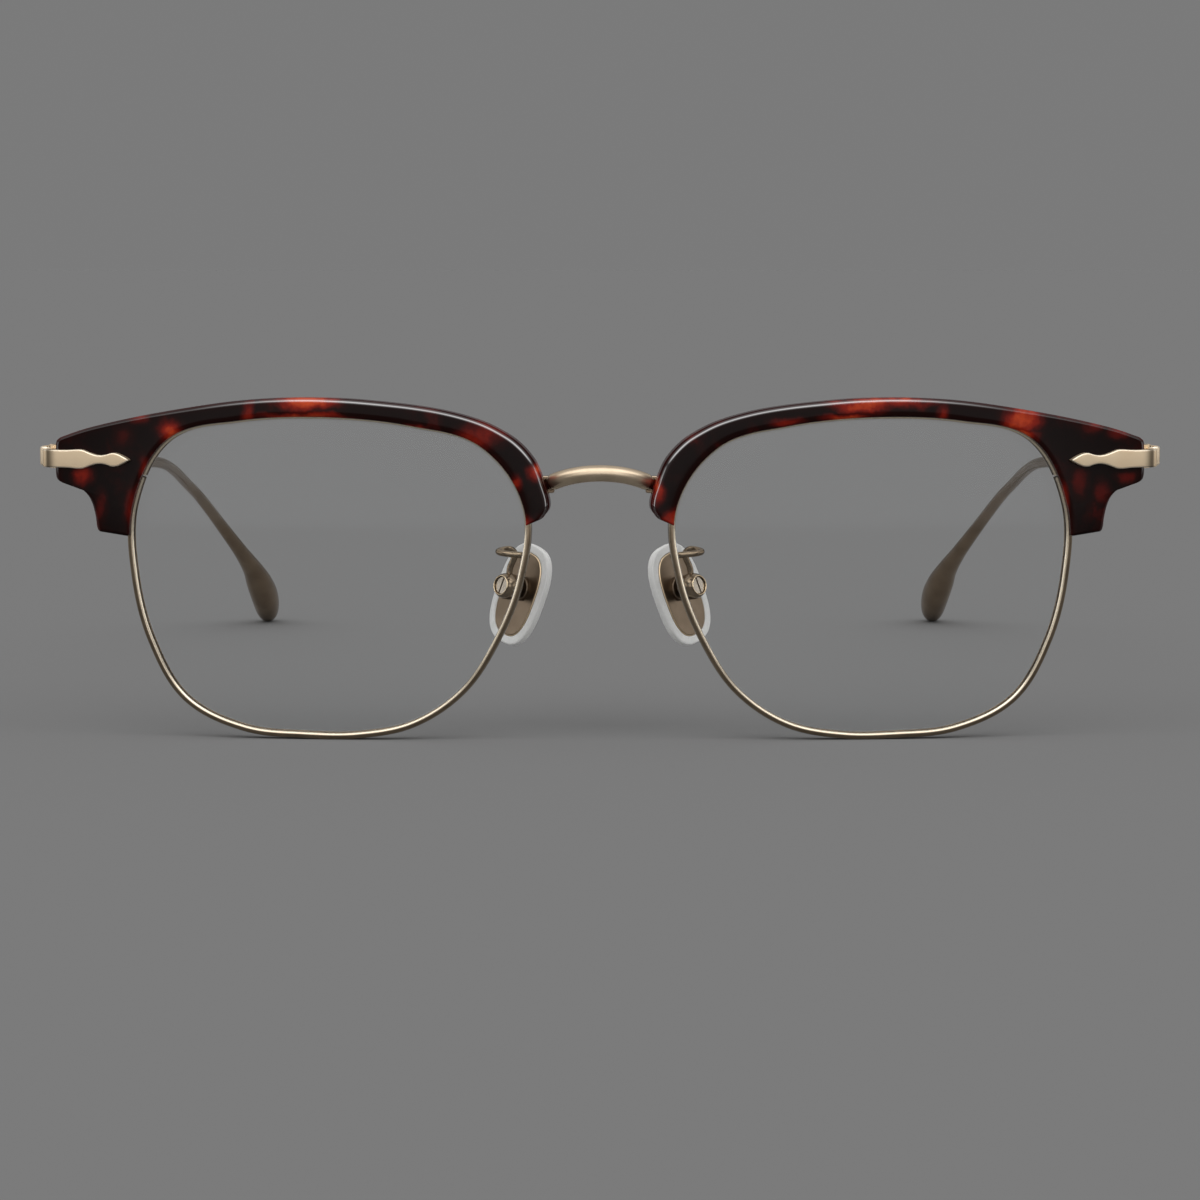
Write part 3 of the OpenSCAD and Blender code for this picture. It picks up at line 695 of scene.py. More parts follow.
def slab(outline: Array, low: float, high: float, rounding: float, parts: int = 6) -> Skin:
    """Plate with an outline in x and y, from z = low to high, and round edges.

    A ring at the angle q of the rounding lies rounding (1 - sin q) above low, and is drawn in
    along the outline's normals by rounding (1 - cos q).

    Args:
        outline: the closed outline's points, in either direction.
        low: the underside.
        high: the top.
        rounding: the radius of the edges.
        parts: the number of steps round an edge.

    Returns:
        The closed skin.
    """
    way = np.roll(outline, -1, axis=0) - np.roll(outline, 1, axis=0)
    way /= np.maximum(np.linalg.norm(way, axis=1, keepdims=True), 1e-9)
    area = np.sum(outline[:, 0] * np.roll(outline[:, 1], -1)
                  - outline[:, 1] * np.roll(outline[:, 0], -1))
    normal = np.stack([way[:, 1], -way[:, 0]], axis=1) * np.sign(area)
    q = np.linspace(math.pi / 2, 0.0, parts + 1)
    drawn = rounding * (1 - np.cos(q))
    drawn = np.concatenate([drawn, drawn[::-1]])
    lift = rounding * (1 - np.sin(q))
    z = np.concatenate([low + lift, high - lift[::-1]])
    flat = outline[None] - drawn[:, None, None] * normal[None]
    rings = np.concatenate([flat, np.broadcast_to(z[:, None, None], (len(z), len(outline), 1))],
                           axis=2)
    # Painted highlight: the glow marks the round edges, where a metal takes its painted highlight
    # colour.
    glow = np.exp(-((drawn / max(rounding, 1e-6) - 0.3) / 0.25) ** 2)
    return loft(rings, glow=glow[:, None])


# Pieces


def put(name: str, skin: Skin, material: Material, body: str, slot: str, *nodes: str,
        crease: float = 32.0) -> bpy.types.Object:
    """Makes a piece from a skin, puts it on its body and hides the CAD nodes that it replaces.

    Args:
        name: the piece's name.
        skin: its shape.
        material: its material.
        body: the CAD body that it rides on.
        slot: the record's material slot for the piece; it is not used.
        nodes: the CAD nodes that it replaces.
        crease: the angle past which an edge stays sharp, in degrees.

    Returns:
        The piece.
    """
    mesh = bpy.data.meshes.new(name)
    faces = [row for block in skin.faces for row in block.tolist()]
    mesh.from_pydata((skin.points * MM).tolist(), [], faces)
    # The first share paints light at edges: painted highlights on metal and a painted glow through
    # the acetate's thin edges. The second sets the brows' coat band and paints shade in the trims'
    # bends.
    for share, values in (("rim_glow", skin.glow), ("accent", skin.accent)):
        if values is not None:
            layer = mesh.attributes.new(share, "FLOAT", "POINT")
            layer.data.foreach_set("value", values.astype(np.float32))
    mesh.validate()
    mesh.polygons.foreach_set("use_smooth", np.ones(len(mesh.polygons), bool))
    if signed_volume(mesh) < 0:
        mesh.flip_normals()
    mesh.set_sharp_from_angle(angle=math.radians(crease))
    mesh.materials.append(material)
    piece = bpy.data.objects.new(name, mesh)
    bpy.context.scene.collection.objects.link(piece)
    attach(piece, body)
    if nodes:
        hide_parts(*nodes)
    log.info("%s: %d faces on %s", name, len(mesh.polygons), body)
    return piece


def signed_volume(mesh: bpy.types.Mesh) -> float:
    """Volume in a closed mesh, below zero where its faces point in.

    Args:
        mesh: the mesh.

    Returns:
        The volume in cubic metres.
    """
    mesh.calc_loop_triangles()
    corners = np.empty(len(mesh.loop_triangles) * 3, np.int32)
    mesh.loop_triangles.foreach_get("vertices", corners)
    points = np.empty(len(mesh.vertices) * 3)
    mesh.vertices.foreach_get("co", points)
    a, b, c = points.reshape(-1, 3)[corners.reshape(-1, 3)].transpose(1, 0, 2)
    return float(np.einsum("ij,ij->i", a, np.cross(b, c)).sum() / 6)


def dress(node: str, material: Material) -> None:
    """Gives a CAD node that stays in view its material.

    Args:
        node: the node's name.
        material: its finish.
    """
    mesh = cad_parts[node].data
    mesh.materials.clear()
    mesh.materials.append(material)
    log.info("%s: CAD shape with %s", node, material.name)


def turn_about(axis: str, degrees: float) -> Array:
    """Matrix of a turn about x, y or z.

    Args:
        axis: the axis.
        degrees: the angle.

    Returns:
        The matrix.
    """
    c, s = math.cos(math.radians(degrees)), math.sin(math.radians(degrees))
    i, j = {"x": (1, 2), "y": (2, 0), "z": (0, 1)}[axis]
    m = np.eye(3)
    m[i, i] = m[j, j] = c
    m[i, j], m[j, i] = -s, s
    return m


@dataclass
class FrontShape:
    """The lens outline and the curved surface of the front. Lengths are in mm."""

    lens_w: float = 51.0
    lens_h: float = 41.0
    base_r: float = 150.0
    bridge_w: float = 19.0
    wrap: float = 4.0
    hinge_rise: float = 14.8
    centre_y: float = 0.0
    groove_d: float = 0.4
    rim_t: float = 0.85
    rim_d: float = 1.7
    brow_cover: float = 1.6
    brow_behind: float = 0.6
    brow_h: float = 2.3
    brow_reach: float = 9.9
    gap: float = 0.05
    step_degrees: float = 5.0
    radii: tuple[float, ...] = (24.6, 26.7, 25.8, 22.2, 20.5, 20.7, 22.9, 27, 26.8,
                                25.2, 24.6, 24.5, 22.5, 20.6, 20.6, 21.7, 22.5, 23)

    @property
    def rim_v(self) -> float:
        """Depth of the brow's front before the middle of the rim wire."""
        return self.brow_cover + self.rim_d / 2

    @property
    def rim_out(self) -> float:
        """How far the rim's outer face lies out of the lens edge."""
        return self.rim_t - self.groove_d

    def radius(self, a: Array) -> Array:
        """Radius of the lens edge at angles in degrees, by the spline of `spline` in a ring.

        Args:
            a: the angles.

        Returns:
            The radii, before the outline is scaled.
        """
        n = len(self.radii)
        r = np.asarray(self.radii)
        s = np.mod(a, 360.0) / (360.0 / n)
        i = np.floor(s).astype(int)
        t = s - i
        p, b, c, d = (r[(i + k) % n] for k in (-1, 0, 1, 2))
        return (b + t * (c - p) / 2 + t ** 2 * (p - 2.5 * b + 2 * c - d / 2)
                + t ** 3 * (1.5 * (b - c) + (d - p) / 2))

    def _raw(self, a: Array) -> Array:
        """Unscaled point of the lens edge.

        Args:
            a: angles in degrees.

        Returns:
            A point across and up for each.
        """
        q = np.radians(a)
        r = self.radius(a)
        return np.stack([-r * np.cos(q), r * np.sin(q)], axis=-1)

    def _frame(self) -> tuple[Array, Array]:
        """Scale of the lens outline and the place of the lens centre.

        Returns:
            The scale and the centre, each across and up.
        """
        raw = self._raw(np.arange(0.0, 360.0, self.step_degrees))
        low, high = raw.min(axis=0), raw.max(axis=0)
        scale = np.array([self.lens_w, self.lens_h]) / (high - low)
        centre = np.array([self.bridge_w / 2, self.rim_out]) - low * scale
        return scale, centre

    @property
    def centre(self) -> Array:
        """Lens centre across and up."""
        return self._frame()[1]

    @property
    def hinge_z(self) -> float:
        """Height of the hinges."""
        return float(self.centre[1]) + self.hinge_rise

    @property
    def side_u(self) -> float:
        """Outermost place of the brow's side.

        Returns:
            Its place across the half front.
        """
        scale, centre = self._frame()
        widest = self._raw(np.arange(0.0, 360.0, self.step_degrees))[:, 0].max()
        return float(centre[0] + widest * scale[0] + self.brow_reach)

    def edge(self, a: Array, off: Array | float) -> Array:
        """Points of the lens edge at angles a, moved out by off.

        Args:
            a: angles in degrees.
            off: the distances out.

        Returns:
            A point across and up for each.
        """
        a = np.asarray(a, float)
        scale, centre = self._frame()
        way = (self._raw(a + 0.5) - self._raw(a - 0.5)) * scale
        way /= np.linalg.norm(way, axis=-1, keepdims=True)
        out = np.stack([-way[..., 1], way[..., 0]], axis=-1)
        return centre + self._raw(a) * scale + np.asarray(off)[..., None] * out

    def depth(self, p: Array, off: Array | float) -> Array:
        """Depth of the sphere that lies off before the middle of the rim, at points (u, z).

        Args:
            p: the points.
            off: the distances before the rim's middle.

        Returns:
            The depth at each point.
        """
        u, z = self.centre
        return (self.rim_v + self.base_r
                - np.sqrt((self.base_r + off) ** 2 - (p[..., 0] - u) ** 2 - (p[..., 1] - z) ** 2))

    def lift(self, p: Array, off: Array | float) -> Array:
        """Points (u, v, z) of the half front for points (u, z) at a depth given by off."""
        return np.stack([p[..., 0], self.depth(p, off), p[..., 1]], axis=-1)

    def to_whole(self, side: Side) -> Move:
        """A function that takes points of the half front to the frame of the part."""
        turn = turn_about("z", self.wrap)
        return lambda points: self.mirrored(side)(points @ turn.T)

    def mirrored(self, side: Side) -> Move:
        """A function that takes points of the uncentred left half to the frame of the part."""
        sign = np.array([side.value, 1.0, 1.0])
        return lambda points: (points + [0.0, self.centre_y, 0.0]) * sign


@dataclass
class Rims:
    """The two wires round the lenses, and the lenses."""

    shape: FrontShape
    split_angle: float = 152.3
    split_gap: float = 0.3
    lens_t: float = 1.8
    ridge_t: float = 0.7
    ridge_play: float = 0.1
    split_r: float = 28.0
    wire_steps: int = 481
    face_rings: int = 40
    innermost: float = 0.985

    def wire(self) -> Skin:
        """Rim wire, a profile with a groove carried round the lens edge from split to split.

        A profile point (off, w) at the angle a goes to the point off outside the lens edge, on
        the sphere w before the middle of the wire.

        Returns:
            The wire in the half front.
        """
        s, h = self.shape, self.shape.rim_d / 2
        lip = self.ridge_t / 2 + self.ridge_play
        corners = np.array([[s.rim_out, h - 0.06], [s.rim_out, -h], [-s.groove_d, -h],
                            [-s.groove_d, -lip], [0.0, -lip], [0.0, lip], [-s.groove_d, lip],
                            [-s.groove_d, h - 0.28], [-s.groove_d + 0.24, h]])
        radii = np.array([0.36, 0.3, 0.2, 0.1, 0.06, 0.06, 0.08, 0.12, 0.16])
        profile = soften(corners, radii, 6)
        half = math.degrees(self.split_gap / 2 / self.split_r)
        a = np.linspace(self.split_angle + half, self.split_angle + 360 - half,
                        self.wire_steps)
        flat = s.edge(a[:, None], profile[None, :, 0])
        rings = s.lift(flat, profile[None, :, 1])
        # Painted highlight: the glow marks a bright band at the lens side of the front and a thin
        # line at the outer side.
        front = np.exp(-((profile[:, 1] - h + 0.1) / 0.24) ** 2)
        inner = np.exp(-((profile[:, 0] + s.groove_d - 0.08) / 0.17) ** 2)
        outer = 0.35 * np.exp(-((profile[:, 0] - s.rim_out + 0.05) / 0.08) ** 2)
        return loft(rings, glow=(front * (inner + outer))[None, :])

    def lens(self) -> Skin:
        """Lens between two spheres, with a ridge that sits in the rim's groove.

        A ring is the lens edge drawn in by an amount d at a depth w, and the front and back
        faces are filled with the rings (1 - f) edge + f centre.

        Returns:
            The lens in the half front.
        """
        s, h, ridge = self.shape, self.lens_t / 2, self.ridge_t / 2
        a = np.arange(0.0, 360.0, 1.0)
        drawn = np.array([s.groove_d + 0.15, s.groove_d + 0.05, s.groove_d + 0.05, 0.08, 0.04,
                          0.04, 0.08, s.groove_d + 0.05, s.groove_d + 0.05, s.groove_d + 0.15])
        level = np.array([h, h - 0.1, ridge, ridge, ridge - 0.06,
                          0.06 - ridge, -ridge, -ridge, 0.1 - h, -h])
        wall = s.edge(a[None, :], -drawn[:, None])
        fill = (1 - np.linspace(0.0, self.innermost, self.face_rings))[:, None, None]
        front = s.centre + (wall[0] - s.centre) * fill[::-1]
        back = s.centre + (wall[-1] - s.centre) * fill
        flat = np.concatenate([front[:-1], wall, back[1:]])
        face = np.full(self.face_rings - 1, h)
        off = np.concatenate([face, level, -face])
        return loft(s.lift(flat, off[:, None]))

    def build(self, bronze: Material, clear: Material) -> None:
        """Makes both rims and both lenses.

        Args:
            bronze: the wire's finish.
            clear: the lens's.
        """
        for side in Side:
            place = self.shape.to_whole(side)
            put(f"rim_wire_{side.word}", self.wire().through(place), bronze, "front",
                "rim_wire", f"rim_{side.word}")
            put(f"clear_lens_{side.word}", self.lens().through(place), clear, "front",
                "lens", f"lens_{side.word}", crease=40.0)


@dataclass
class Brows:
    """The two acetate brows."""

    shape: FrontShape
    reveal: float = 0.3
    start: float = 14.5
    stop: float = 168.5
    end_round: float = 0.4
    stations: int = 700
    lead_share: float = 0.05
    smoothing: int = 25
    bevels: tuple = ((0, .5), (.06, .5), (.3, .36), (.5, .32), (.62, .4), (1, .36))
    crowns: tuple = ((0, .15), (.5, .15), (.66, .04), (1, .04))
    shines: tuple = ((0, .4), (.1, .7), (.3, 1), (.46, .9), (.54, .4), (.62, .15), (1, .1))
    shine_half: float = 0.13
    nose_rows: tuple = ((16, .739), (17, 1.087), (18.2, 1.326), (20, 1.413), (23, 1.435),
                        (26, 1.5), (29, 1.565), (33, 1.522), (37, 1.391), (43, 1.174),
                        (51, 1.087), (62, 1.065), (78, 1), (89, 1), (100, 1), (112, 1),
                        (123, 1.043), (134, 1.13))
    side_rows: tuple = ((-1.03, .535), (-.465, .404), (-.121, .293), (-.035, .252), (0, .192),
                        (0, -.04), (-.005, -.212), (-.04, -.283), (-.131, -.313),
                        (-.242, -.338), (-.364, -.394), (-.455, -.48), (-.51, -.586),
                        (-.55, -.737), (-.571, -.879), (-.616, -.95))

    def outer(self) -> Array:
        """Upper and outer edge of the brow, from the nose round to the foot of its side.

        Returns:
            Points at equal steps along the edge.
        """
        s = self.shape
        rows = np.array(self.nose_rows)
        nose = s.edge(rows[:, 0], s.brow_h * rows[:, 1])
        side = np.array([s.side_u, s.hinge_z]) + s.brow_reach * np.array(self.side_rows)
        return even(spline(np.vstack([nose, side]), 12), self.stations)

    def skin(self) -> Skin:
        """Brow as a section carried from the nose to the foot.

        Each station joins a point of the inner edge to the point of the outer edge that lies
        in the same direction from the lens centre. A section point (x, w) lies x along that
        line and on the sphere w before the middle of the rim. The face is crowned by
        crown (1 - (2 x / width - 1)^2), and the last sections at each end are drawn in.

        Returns:
            The brow in the half front.
        """
        s = self.shape
        out = self.outer()
        angle = np.degrees(np.arctan2(out[:, 1] - s.centre[1], -(out[:, 0] - s.centre[0])))
        angle = np.maximum.accumulate(angle)
        share = np.linspace(0.0, 1.0, len(out))
        lead = np.clip(1 - share / self.lead_share, 0, 1) ** 2
        tail = np.clip(1 - (1 - share) / self.lead_share, 0, 1) ** 2
        angle = angle * (1 - lead - tail) + self.start * lead + self.stop * tail
        padded = np.pad(angle, self.smoothing // 2, mode="reflect", reflect_type="odd")
        smooth = np.convolve(padded, np.ones(self.smoothing) / self.smoothing, "valid")
        inner = s.edge(smooth, self.reveal - s.groove_d)
        keep = slice(6, -6)
        inner, out, share = inner[keep], out[keep], share[keep]
        inner, out, drawn = self._ends(inner, out)
        share = np.concatenate([np.zeros(7), share, np.ones(7)])
        return self._sections(inner, out, drawn, share)

    def _ends(self, inner: Array, out: Array) -> tuple[Array, Array, Array]:
        """Adds seven stations at each end, which round it off.

        At the angle q the station lies end_round sin q past the last one and its section is
        drawn in by end_round (1 - cos q).

        Args:
            inner: points of the inner edge.
            out: the points of the outer edge that they join.

        Returns:
            Both edges with the new stations, and how far each section is drawn in.
        """
        q = np.linspace(0.0, math.pi / 2, 8)[1:]
        ahead = self.end_round * np.sin(q)[:, None]
        pull = self.end_round * (1 - np.cos(q))
        first = inner[0] + out[0] - inner[6] - out[6]
        last = inner[-1] + out[-1] - inner[-7] - out[-7]
        first, last = (w / np.linalg.norm(w) for w in (first, last))
        inner = np.vstack([(inner[0] + first * ahead)[::-1], inner, inner[-1] + last * ahead])
        out = np.vstack([(out[0] + first * ahead)[::-1], out, out[-1] + last * ahead])
        drawn = np.concatenate([pull[::-1], np.zeros(len(inner) - 14), pull])
        return inner, out, drawn

    def _sections(self, inner: Array, out: Array, drawn: Array, share: Array) -> Skin:
        """Lofts the brow's sections between its two edges.

        Args:
            inner: points of the inner edge.
            out: the points of the outer edge that they join.
            drawn: how far each section is drawn in.
            share: the place of each section from nose to foot, from 0 to 1.

        Returns:
            The brow, with its accent on the ridge of the bevel.
        """
        s = self.shape
        width = np.linalg.norm(out - inner, axis=1)
        front, back, mid = s.rim_v, -s.brow_behind, s.rim_d / 2 + s.gap
        step = np.minimum(s.rim_out - self.reveal + s.groove_d + s.gap, 0.6 * width)
        bevel, crown, shine = (np.interp(share, *zip(*rows))
                               for rows in (self.bevels, self.crowns, self.shines))
        zero = np.zeros_like(width)
        full = [
            (zero, zero + front - 0.28), (zero + 0.34, zero + front),
            (width - bevel, zero + front), (width, front - bevel * 1.15),
            (width, zero + back), (step, zero + back), (step, zero + mid), (zero, zero + mid)]
        corners = np.stack([np.stack(c, axis=-1) for c in full], axis=1)
        low = np.stack([zero + drawn, back + drawn], axis=-1)[:, None]
        high = np.stack([width - drawn, front - drawn], axis=-1)[:, None]
        corners = np.clip(corners, low, high)
        corners[:, 7, 1] += drawn * 0.5
        corners[:, 5:7, 0] = np.maximum(corners[:, 5:7, 0], step[:, None] + drawn[:, None])
        radii = np.array([0.22, 0.5, 0.3, 0.3, 0.3, 0.1, 0.05, 0.12])
        profile = soften(corners, radii, 7)
        face = profile[:, 15:17]
        t = np.linspace(0.0, 1.0, 14)[1:-1][None, :, None]
        face = face[:, :1] * (1 - t) + face[:, 1:] * t
        profile = np.concatenate([profile[:, :16], face, profile[:, 16:]], axis=1)
        x, w = profile[..., 0], profile[..., 1]
        reach = np.clip(x / width[:, None], 0, 1)
        crown = (crown * np.minimum(1.0, width / 3))[:, None] * (2 * reach - 1) ** 2
        w = w - np.where(w > front - 0.5, crown, 0.0)
        flat = inner[:, None] + (out - inner)[:, None] * (x / width[:, None])[..., None]
        rings = s.lift(flat, w)
        # Painted light: the glow marks the inner and outer edges, which the acetate reddens as a
        # painted glow of light shining through.
        glow = np.exp(-x / 0.4) + np.exp(-np.maximum(width[:, None] - x - 0.1, 0) / 0.42)
        skin = loft(rings, glow=np.clip(glow, 0, 1))
        top = (width - bevel)[:, None] + 0.05
        band = np.exp(-((x - top) / self.shine_half) ** 2) * (w > front - 0.7)
        skin.accent = np.clip(shine[:, None] * band, 0, 1).reshape(-1)
        return skin

    def build(self, left: Material, right: Material) -> None:
        """Makes both brows.

        Args:
            left: the left brow's finish.
            right: the right one's.
        """
        for side, acetate in ((Side.LEFT, left), (Side.RIGHT, right)):
            skin = self.skin().through(self.shape.to_whole(side))
            put(f"acetate_brow_{side.word}", skin, acetate, "front", "acetate",
                f"brow_{side.word}", crease=50.0)


@dataclass
class EndPieces:
    """The arrow trims on the brows' corners."""

    shape: FrontShape
    arrow_l: float = 11.0
    arrow_t: float = 0.9
    proud: float = 0.4
    half_h: float = 1.15
    corner_r: float = 1.5
    arm_l: float = 4.3
    arm_short: float = 0.95
    side_gap: float = 0.55
    hinge_in: float = 1.35
    # Painted shade in the bend: its middle in degrees round the bend, its fades before and after it
    # in mm, and its strength.
    bend_shade_at: float = -79.0
    bend_shade_fades: tuple[float, float] = (0.7, 0.24)
    bend_shade_depth: float = 0.9
    rows: tuple = ((0, 1), (.11, .98), (.23, 1), (.355, 1.08), (.42, 1.04), (.5, .77),
                   (.58, .54), (.65, .48), (.71, .56), (.79, .76), (.85, .72), (.9, .55),
                   (.96, .27), (1, .03))

    @property
    def corner(self) -> Array:
        """Corner where the trim bends round the brow, in the uncentred left half.

        Returns:
            The corner's place.
        """
        s = self.shape
        flat = np.array([s.side_u + self.side_gap, s.hinge_z])
        return turn_about("z", s.wrap) @ s.lift(flat, s.rim_v)

    @property
    def turn(self) -> float:
        """Angle between the arrow plate and the part's x axis.

        Returns:
            The angle in degrees.
        """
        s = self.shape
        across = s.side_u + self.side_gap - s.centre[0]
        return s.wrap + math.degrees(math.asin(across / (s.base_r + s.rim_v)))

    @property
    def bend_mid(self) -> Array:
        """Middle of the bend in plan."""
        across = turn_about("z", self.turn) @ np.array([0.0, self.corner_r - self.proud, 0.0])
        return (self.corner + across)[:2]

    @property
    def hinge(self) -> Array:
        """Hinge point of the left half."""
        x, y = self.bend_mid
        return np.array([x + self.corner_r - self.hinge_in, y + self.arm_l, self.shape.hinge_z])

    def trim(self) -> Skin:
        """Trim as a rounded section carried along its plan.

        The plan runs from the arrow's point along the plate, round the bend and back along the
        arm. The section's half height follows the arrow's rows along the plate.

        Returns:
            The trim in the uncentred left half.
        """
        rows = spline(np.array(self.rows), 10)[::-1]
        mid = self.arrow_t / 2 - self.proud
        plate = np.stack([-rows[:, 0] * self.arrow_l, np.full(len(rows), mid)], axis=1)
        q = np.radians(np.linspace(-90.0, -self.turn, 25)[1:])
        r = self.corner_r - self.arrow_t / 2
        bend = np.stack([r * np.cos(q), self.corner_r - self.proud + r * np.sin(q)], axis=1)
        along = np.array([math.sin(math.radians(self.turn)), math.cos(math.radians(self.turn))])
        arm = bend[-1] + along * np.linspace(0.1, self.arm_l - self.arm_short, 12)[:, None]
        plan = np.vstack([plate, bend, arm])
        half = np.concatenate([rows[:, 1] * self.half_h,
                               np.full(len(bend) + len(arm), self.half_h)])
        t = np.full_like(half, self.arrow_t / 2)
        corners = np.stack([np.stack([a * t, b * half], axis=-1)
                            for a, b in ((1, 1), (1, -1), (-1, -1), (-1, 1))], axis=1)
        radii = np.stack([np.minimum(r0, 0.8 * half) for r0 in (0.24, 0.24, 0.12, 0.12)], axis=1)
        section = soften(corners, radii, 6)
        path = np.column_stack([plan, np.zeros(len(plan))])
        # Painted highlight along the top and bottom of the plate's front face.
        edge = 0.7 * np.exp(-((np.abs(section[..., 1]) - half[:, None] + 0.07) / 0.08) ** 2)
        edge *= section[..., 0] > 0
        skin = sweep(path, section, UP, edge)
        # Painted shade, a dark reflection, on a band round the bend.
        length = along_path(plan)
        away = length - np.interp(self.bend_shade_at, np.degrees(q),
                                  length[len(plate):len(plate) + len(q)])
        before, after = self.bend_shade_fades
        shade = self.bend_shade_depth * np.exp(-(away / np.where(away > 0, after, before)) ** 2)
        skin.accent = np.repeat(shade, section.shape[1])
        return skin.moved(turn_about("z", self.turn), self.corner)

    def build(self, champagne: Material) -> None:
        """Makes both trims.

        Args:
            champagne: their finish.
        """
        for side in Side:
            skin = self.trim().through(self.shape.mirrored(side))
            put(f"arrow_trim_{side.word}", skin, champagne, "front", "champagne_metal",
                f"end_trim_{side.word}")


@dataclass
class Temples:
    """The temples with their hinge heads."""

    shape: FrontShape
    ends: EndPieces
    length: float = 129.5
    head_l: float = 4.7
    come_in: float = 15.5
    half_t: float = 0.65
    half_h: float = 1.15
    drop_w: float = 2.2
    drop_h: float = 2.5
    knuckle_r: float = 1.15
    knuckle_half: float = 0.45
    screw_r: float = 0.56
    head_half_h: float = 1.25
    bar_out: float = 1.1
    lobe_out: float = 1.05
    rows: tuple = ((0, 0, 0, 0, 0), (.08, .06, .024, 0, -.05), (.2, .17, .066, 0, -.2),
                   (.34, .29, .107, 0, -.45), (.48, .39, .146, .03, -.6),
                   (.57, .435, .2, .06, -.6), (.645, .485, .275, .08, -.6),
                   (.7, .565, .352, .1, -.55), (.77, .7, .488, .17, -.4),
                   (.835, .85, .632, .33, -.03), (.88, .94, .73, .62, .3),
                   (.912, .985, .805, .93, .7), (.945, 1.015, .88, 1, .95),
                   (.975, 1.02, .95, .8, .7), (.992, 1.01, .985, .35, .1),
                   (1, 1, 1, -.35, -1.3))

    @property
    def start(self) -> Array:
        """Front end of the bar.

        Returns:
            Its place in the uncentred left half.
        """
        hinge = self.ends.hinge
        return np.array([hinge[0] + self.bar_out, hinge[1] + self.head_l + self.shape.gap,
                         hinge[2]])

    def _rings(self, fall: float, parts: int, sides: int) -> Array:
        """Rings of the bar for a fall of its middle line.

        Args:
            fall: the height from the hinge to the end of the middle line.
            parts: the number of steps between two rows.
            sides: the number of points in a ring.

        Returns:
            The rings' points.
        """
        rows = spline(np.array(self.rows), parts)
        path = self.start + np.stack([-rows[:, 1] * self.come_in,
                                      rows[:, 0] * (self.length - self.head_l),
                                      -rows[:, 2] * fall], axis=1)
        plus = rows[:, 3:] > 0
        half = np.array([self.half_t, self.half_h])
        grow = np.array([self.drop_w, self.drop_h]) - half
        size = half + rows[:, 3:] * np.where(plus, grow, half * [1.0, 0.5])
        way = np.gradient(path, axis=0)
        way[0] = [0.0, 1.0, 0.0]
        way /= np.linalg.norm(way, axis=1, keepdims=True)
        across = np.cross(way, UP)
        across /= np.linalg.norm(across, axis=1, keepdims=True)
        over = np.cross(across, way)
        section = oval(size[:, 0], size[:, 1], sides)
        return (path[:, None] + section[..., :1] * across[:, None]
                + section[..., 1:] * over[:, None])

    def bar(self) -> Skin:
        """Temple bar. Its fall is set so that its lowest point lies on the floor.

        Returns:
            The bar in the uncentred left half.
        """
        fall = self.shape.hinge_z - 1
        low, low_next = (self._rings(f, 4, 14)[..., 2].min() for f in (fall, fall + 1))
        fall += low / (low - low_next)
        rings = self._rings(fall, 16, 40)
        rings[..., 2] = np.maximum(rings[..., 2], 0.0)
        return loft(rings)

    def head(self) -> Skin:
        """Hinge head: a plate with a relief round the knuckle, and the knuckle's ring.

        Returns:
            The head in the uncentred left half.
        """
        out = self.ends.hinge_in + self.lobe_out
        b_in, b_out = self.bar_out - self.half_t, self.bar_out + self.half_t
        relief = self.knuckle_r + 0.14
        q = np.radians(np.linspace(-35.0, 95.0, 24))
        bite = np.stack([relief * np.cos(q), relief * np.sin(q)], axis=1)[::-1]
        lobe = np.array([[1.45, -0.8], [out - 0.75, -0.8], [out - 0.3, -0.6], [out, 0.0],
                         [out, 1.0], [out - 0.2, 1.8], [b_out + 0.15, 3.0], [b_out, 4.0]])
        outer = spline(lobe, 6)
        inner = spline(np.array([[b_in, 4.2], [b_in - 0.15, 3.4], [-0.3, 2.6], [-0.55, 1.9],
                                 [-0.5, 1.45]]), 6)
        outline = np.vstack([outer, [[b_out, self.head_l], [b_in, self.head_l]], inner, bite])
        plate = slab(outline, -self.head_half_h, self.head_half_h, 0.3)
        ring = ring_profile(-self.knuckle_half, self.knuckle_half, self.screw_r,
                            self.knuckle_r, 0.06)
        knuckle = lathe(ring, 48).moved(np.array([[0, 1, 0], [0, 0, 1], [1, 0, 0]]))
        joint = np.array([[0.75, 0.35], [1.6, 0.35], [1.6, 2.0], [-0.4, 2.0], [-0.4, 0.95],
                          [0.3, 0.95]])
        web = slab(joint, -self.knuckle_half, self.knuckle_half, 0.03, 2)
        return (plate + knuckle + web).through(lambda points: points + self.ends.hinge)

    def build(self, bronze: Material, champagne: Material) -> None:
        """Makes both temples and their heads.

        Args:
            bronze: the bars' finish.
            champagne: the heads'.
        """
        for side in Side:
            place = self.shape.mirrored(side)
            body = f"{side.word}_temple"
            put(f"temple_bar_{side.word}", self.bar().through(place), bronze, body,
                "temple_metal", f"temple_{side.word}")
            put(f"hinge_head_{side.word}", self.head().through(place), champagne, body,
                "champagne_metal", f"temple_head_{side.word}", crease=45.0)


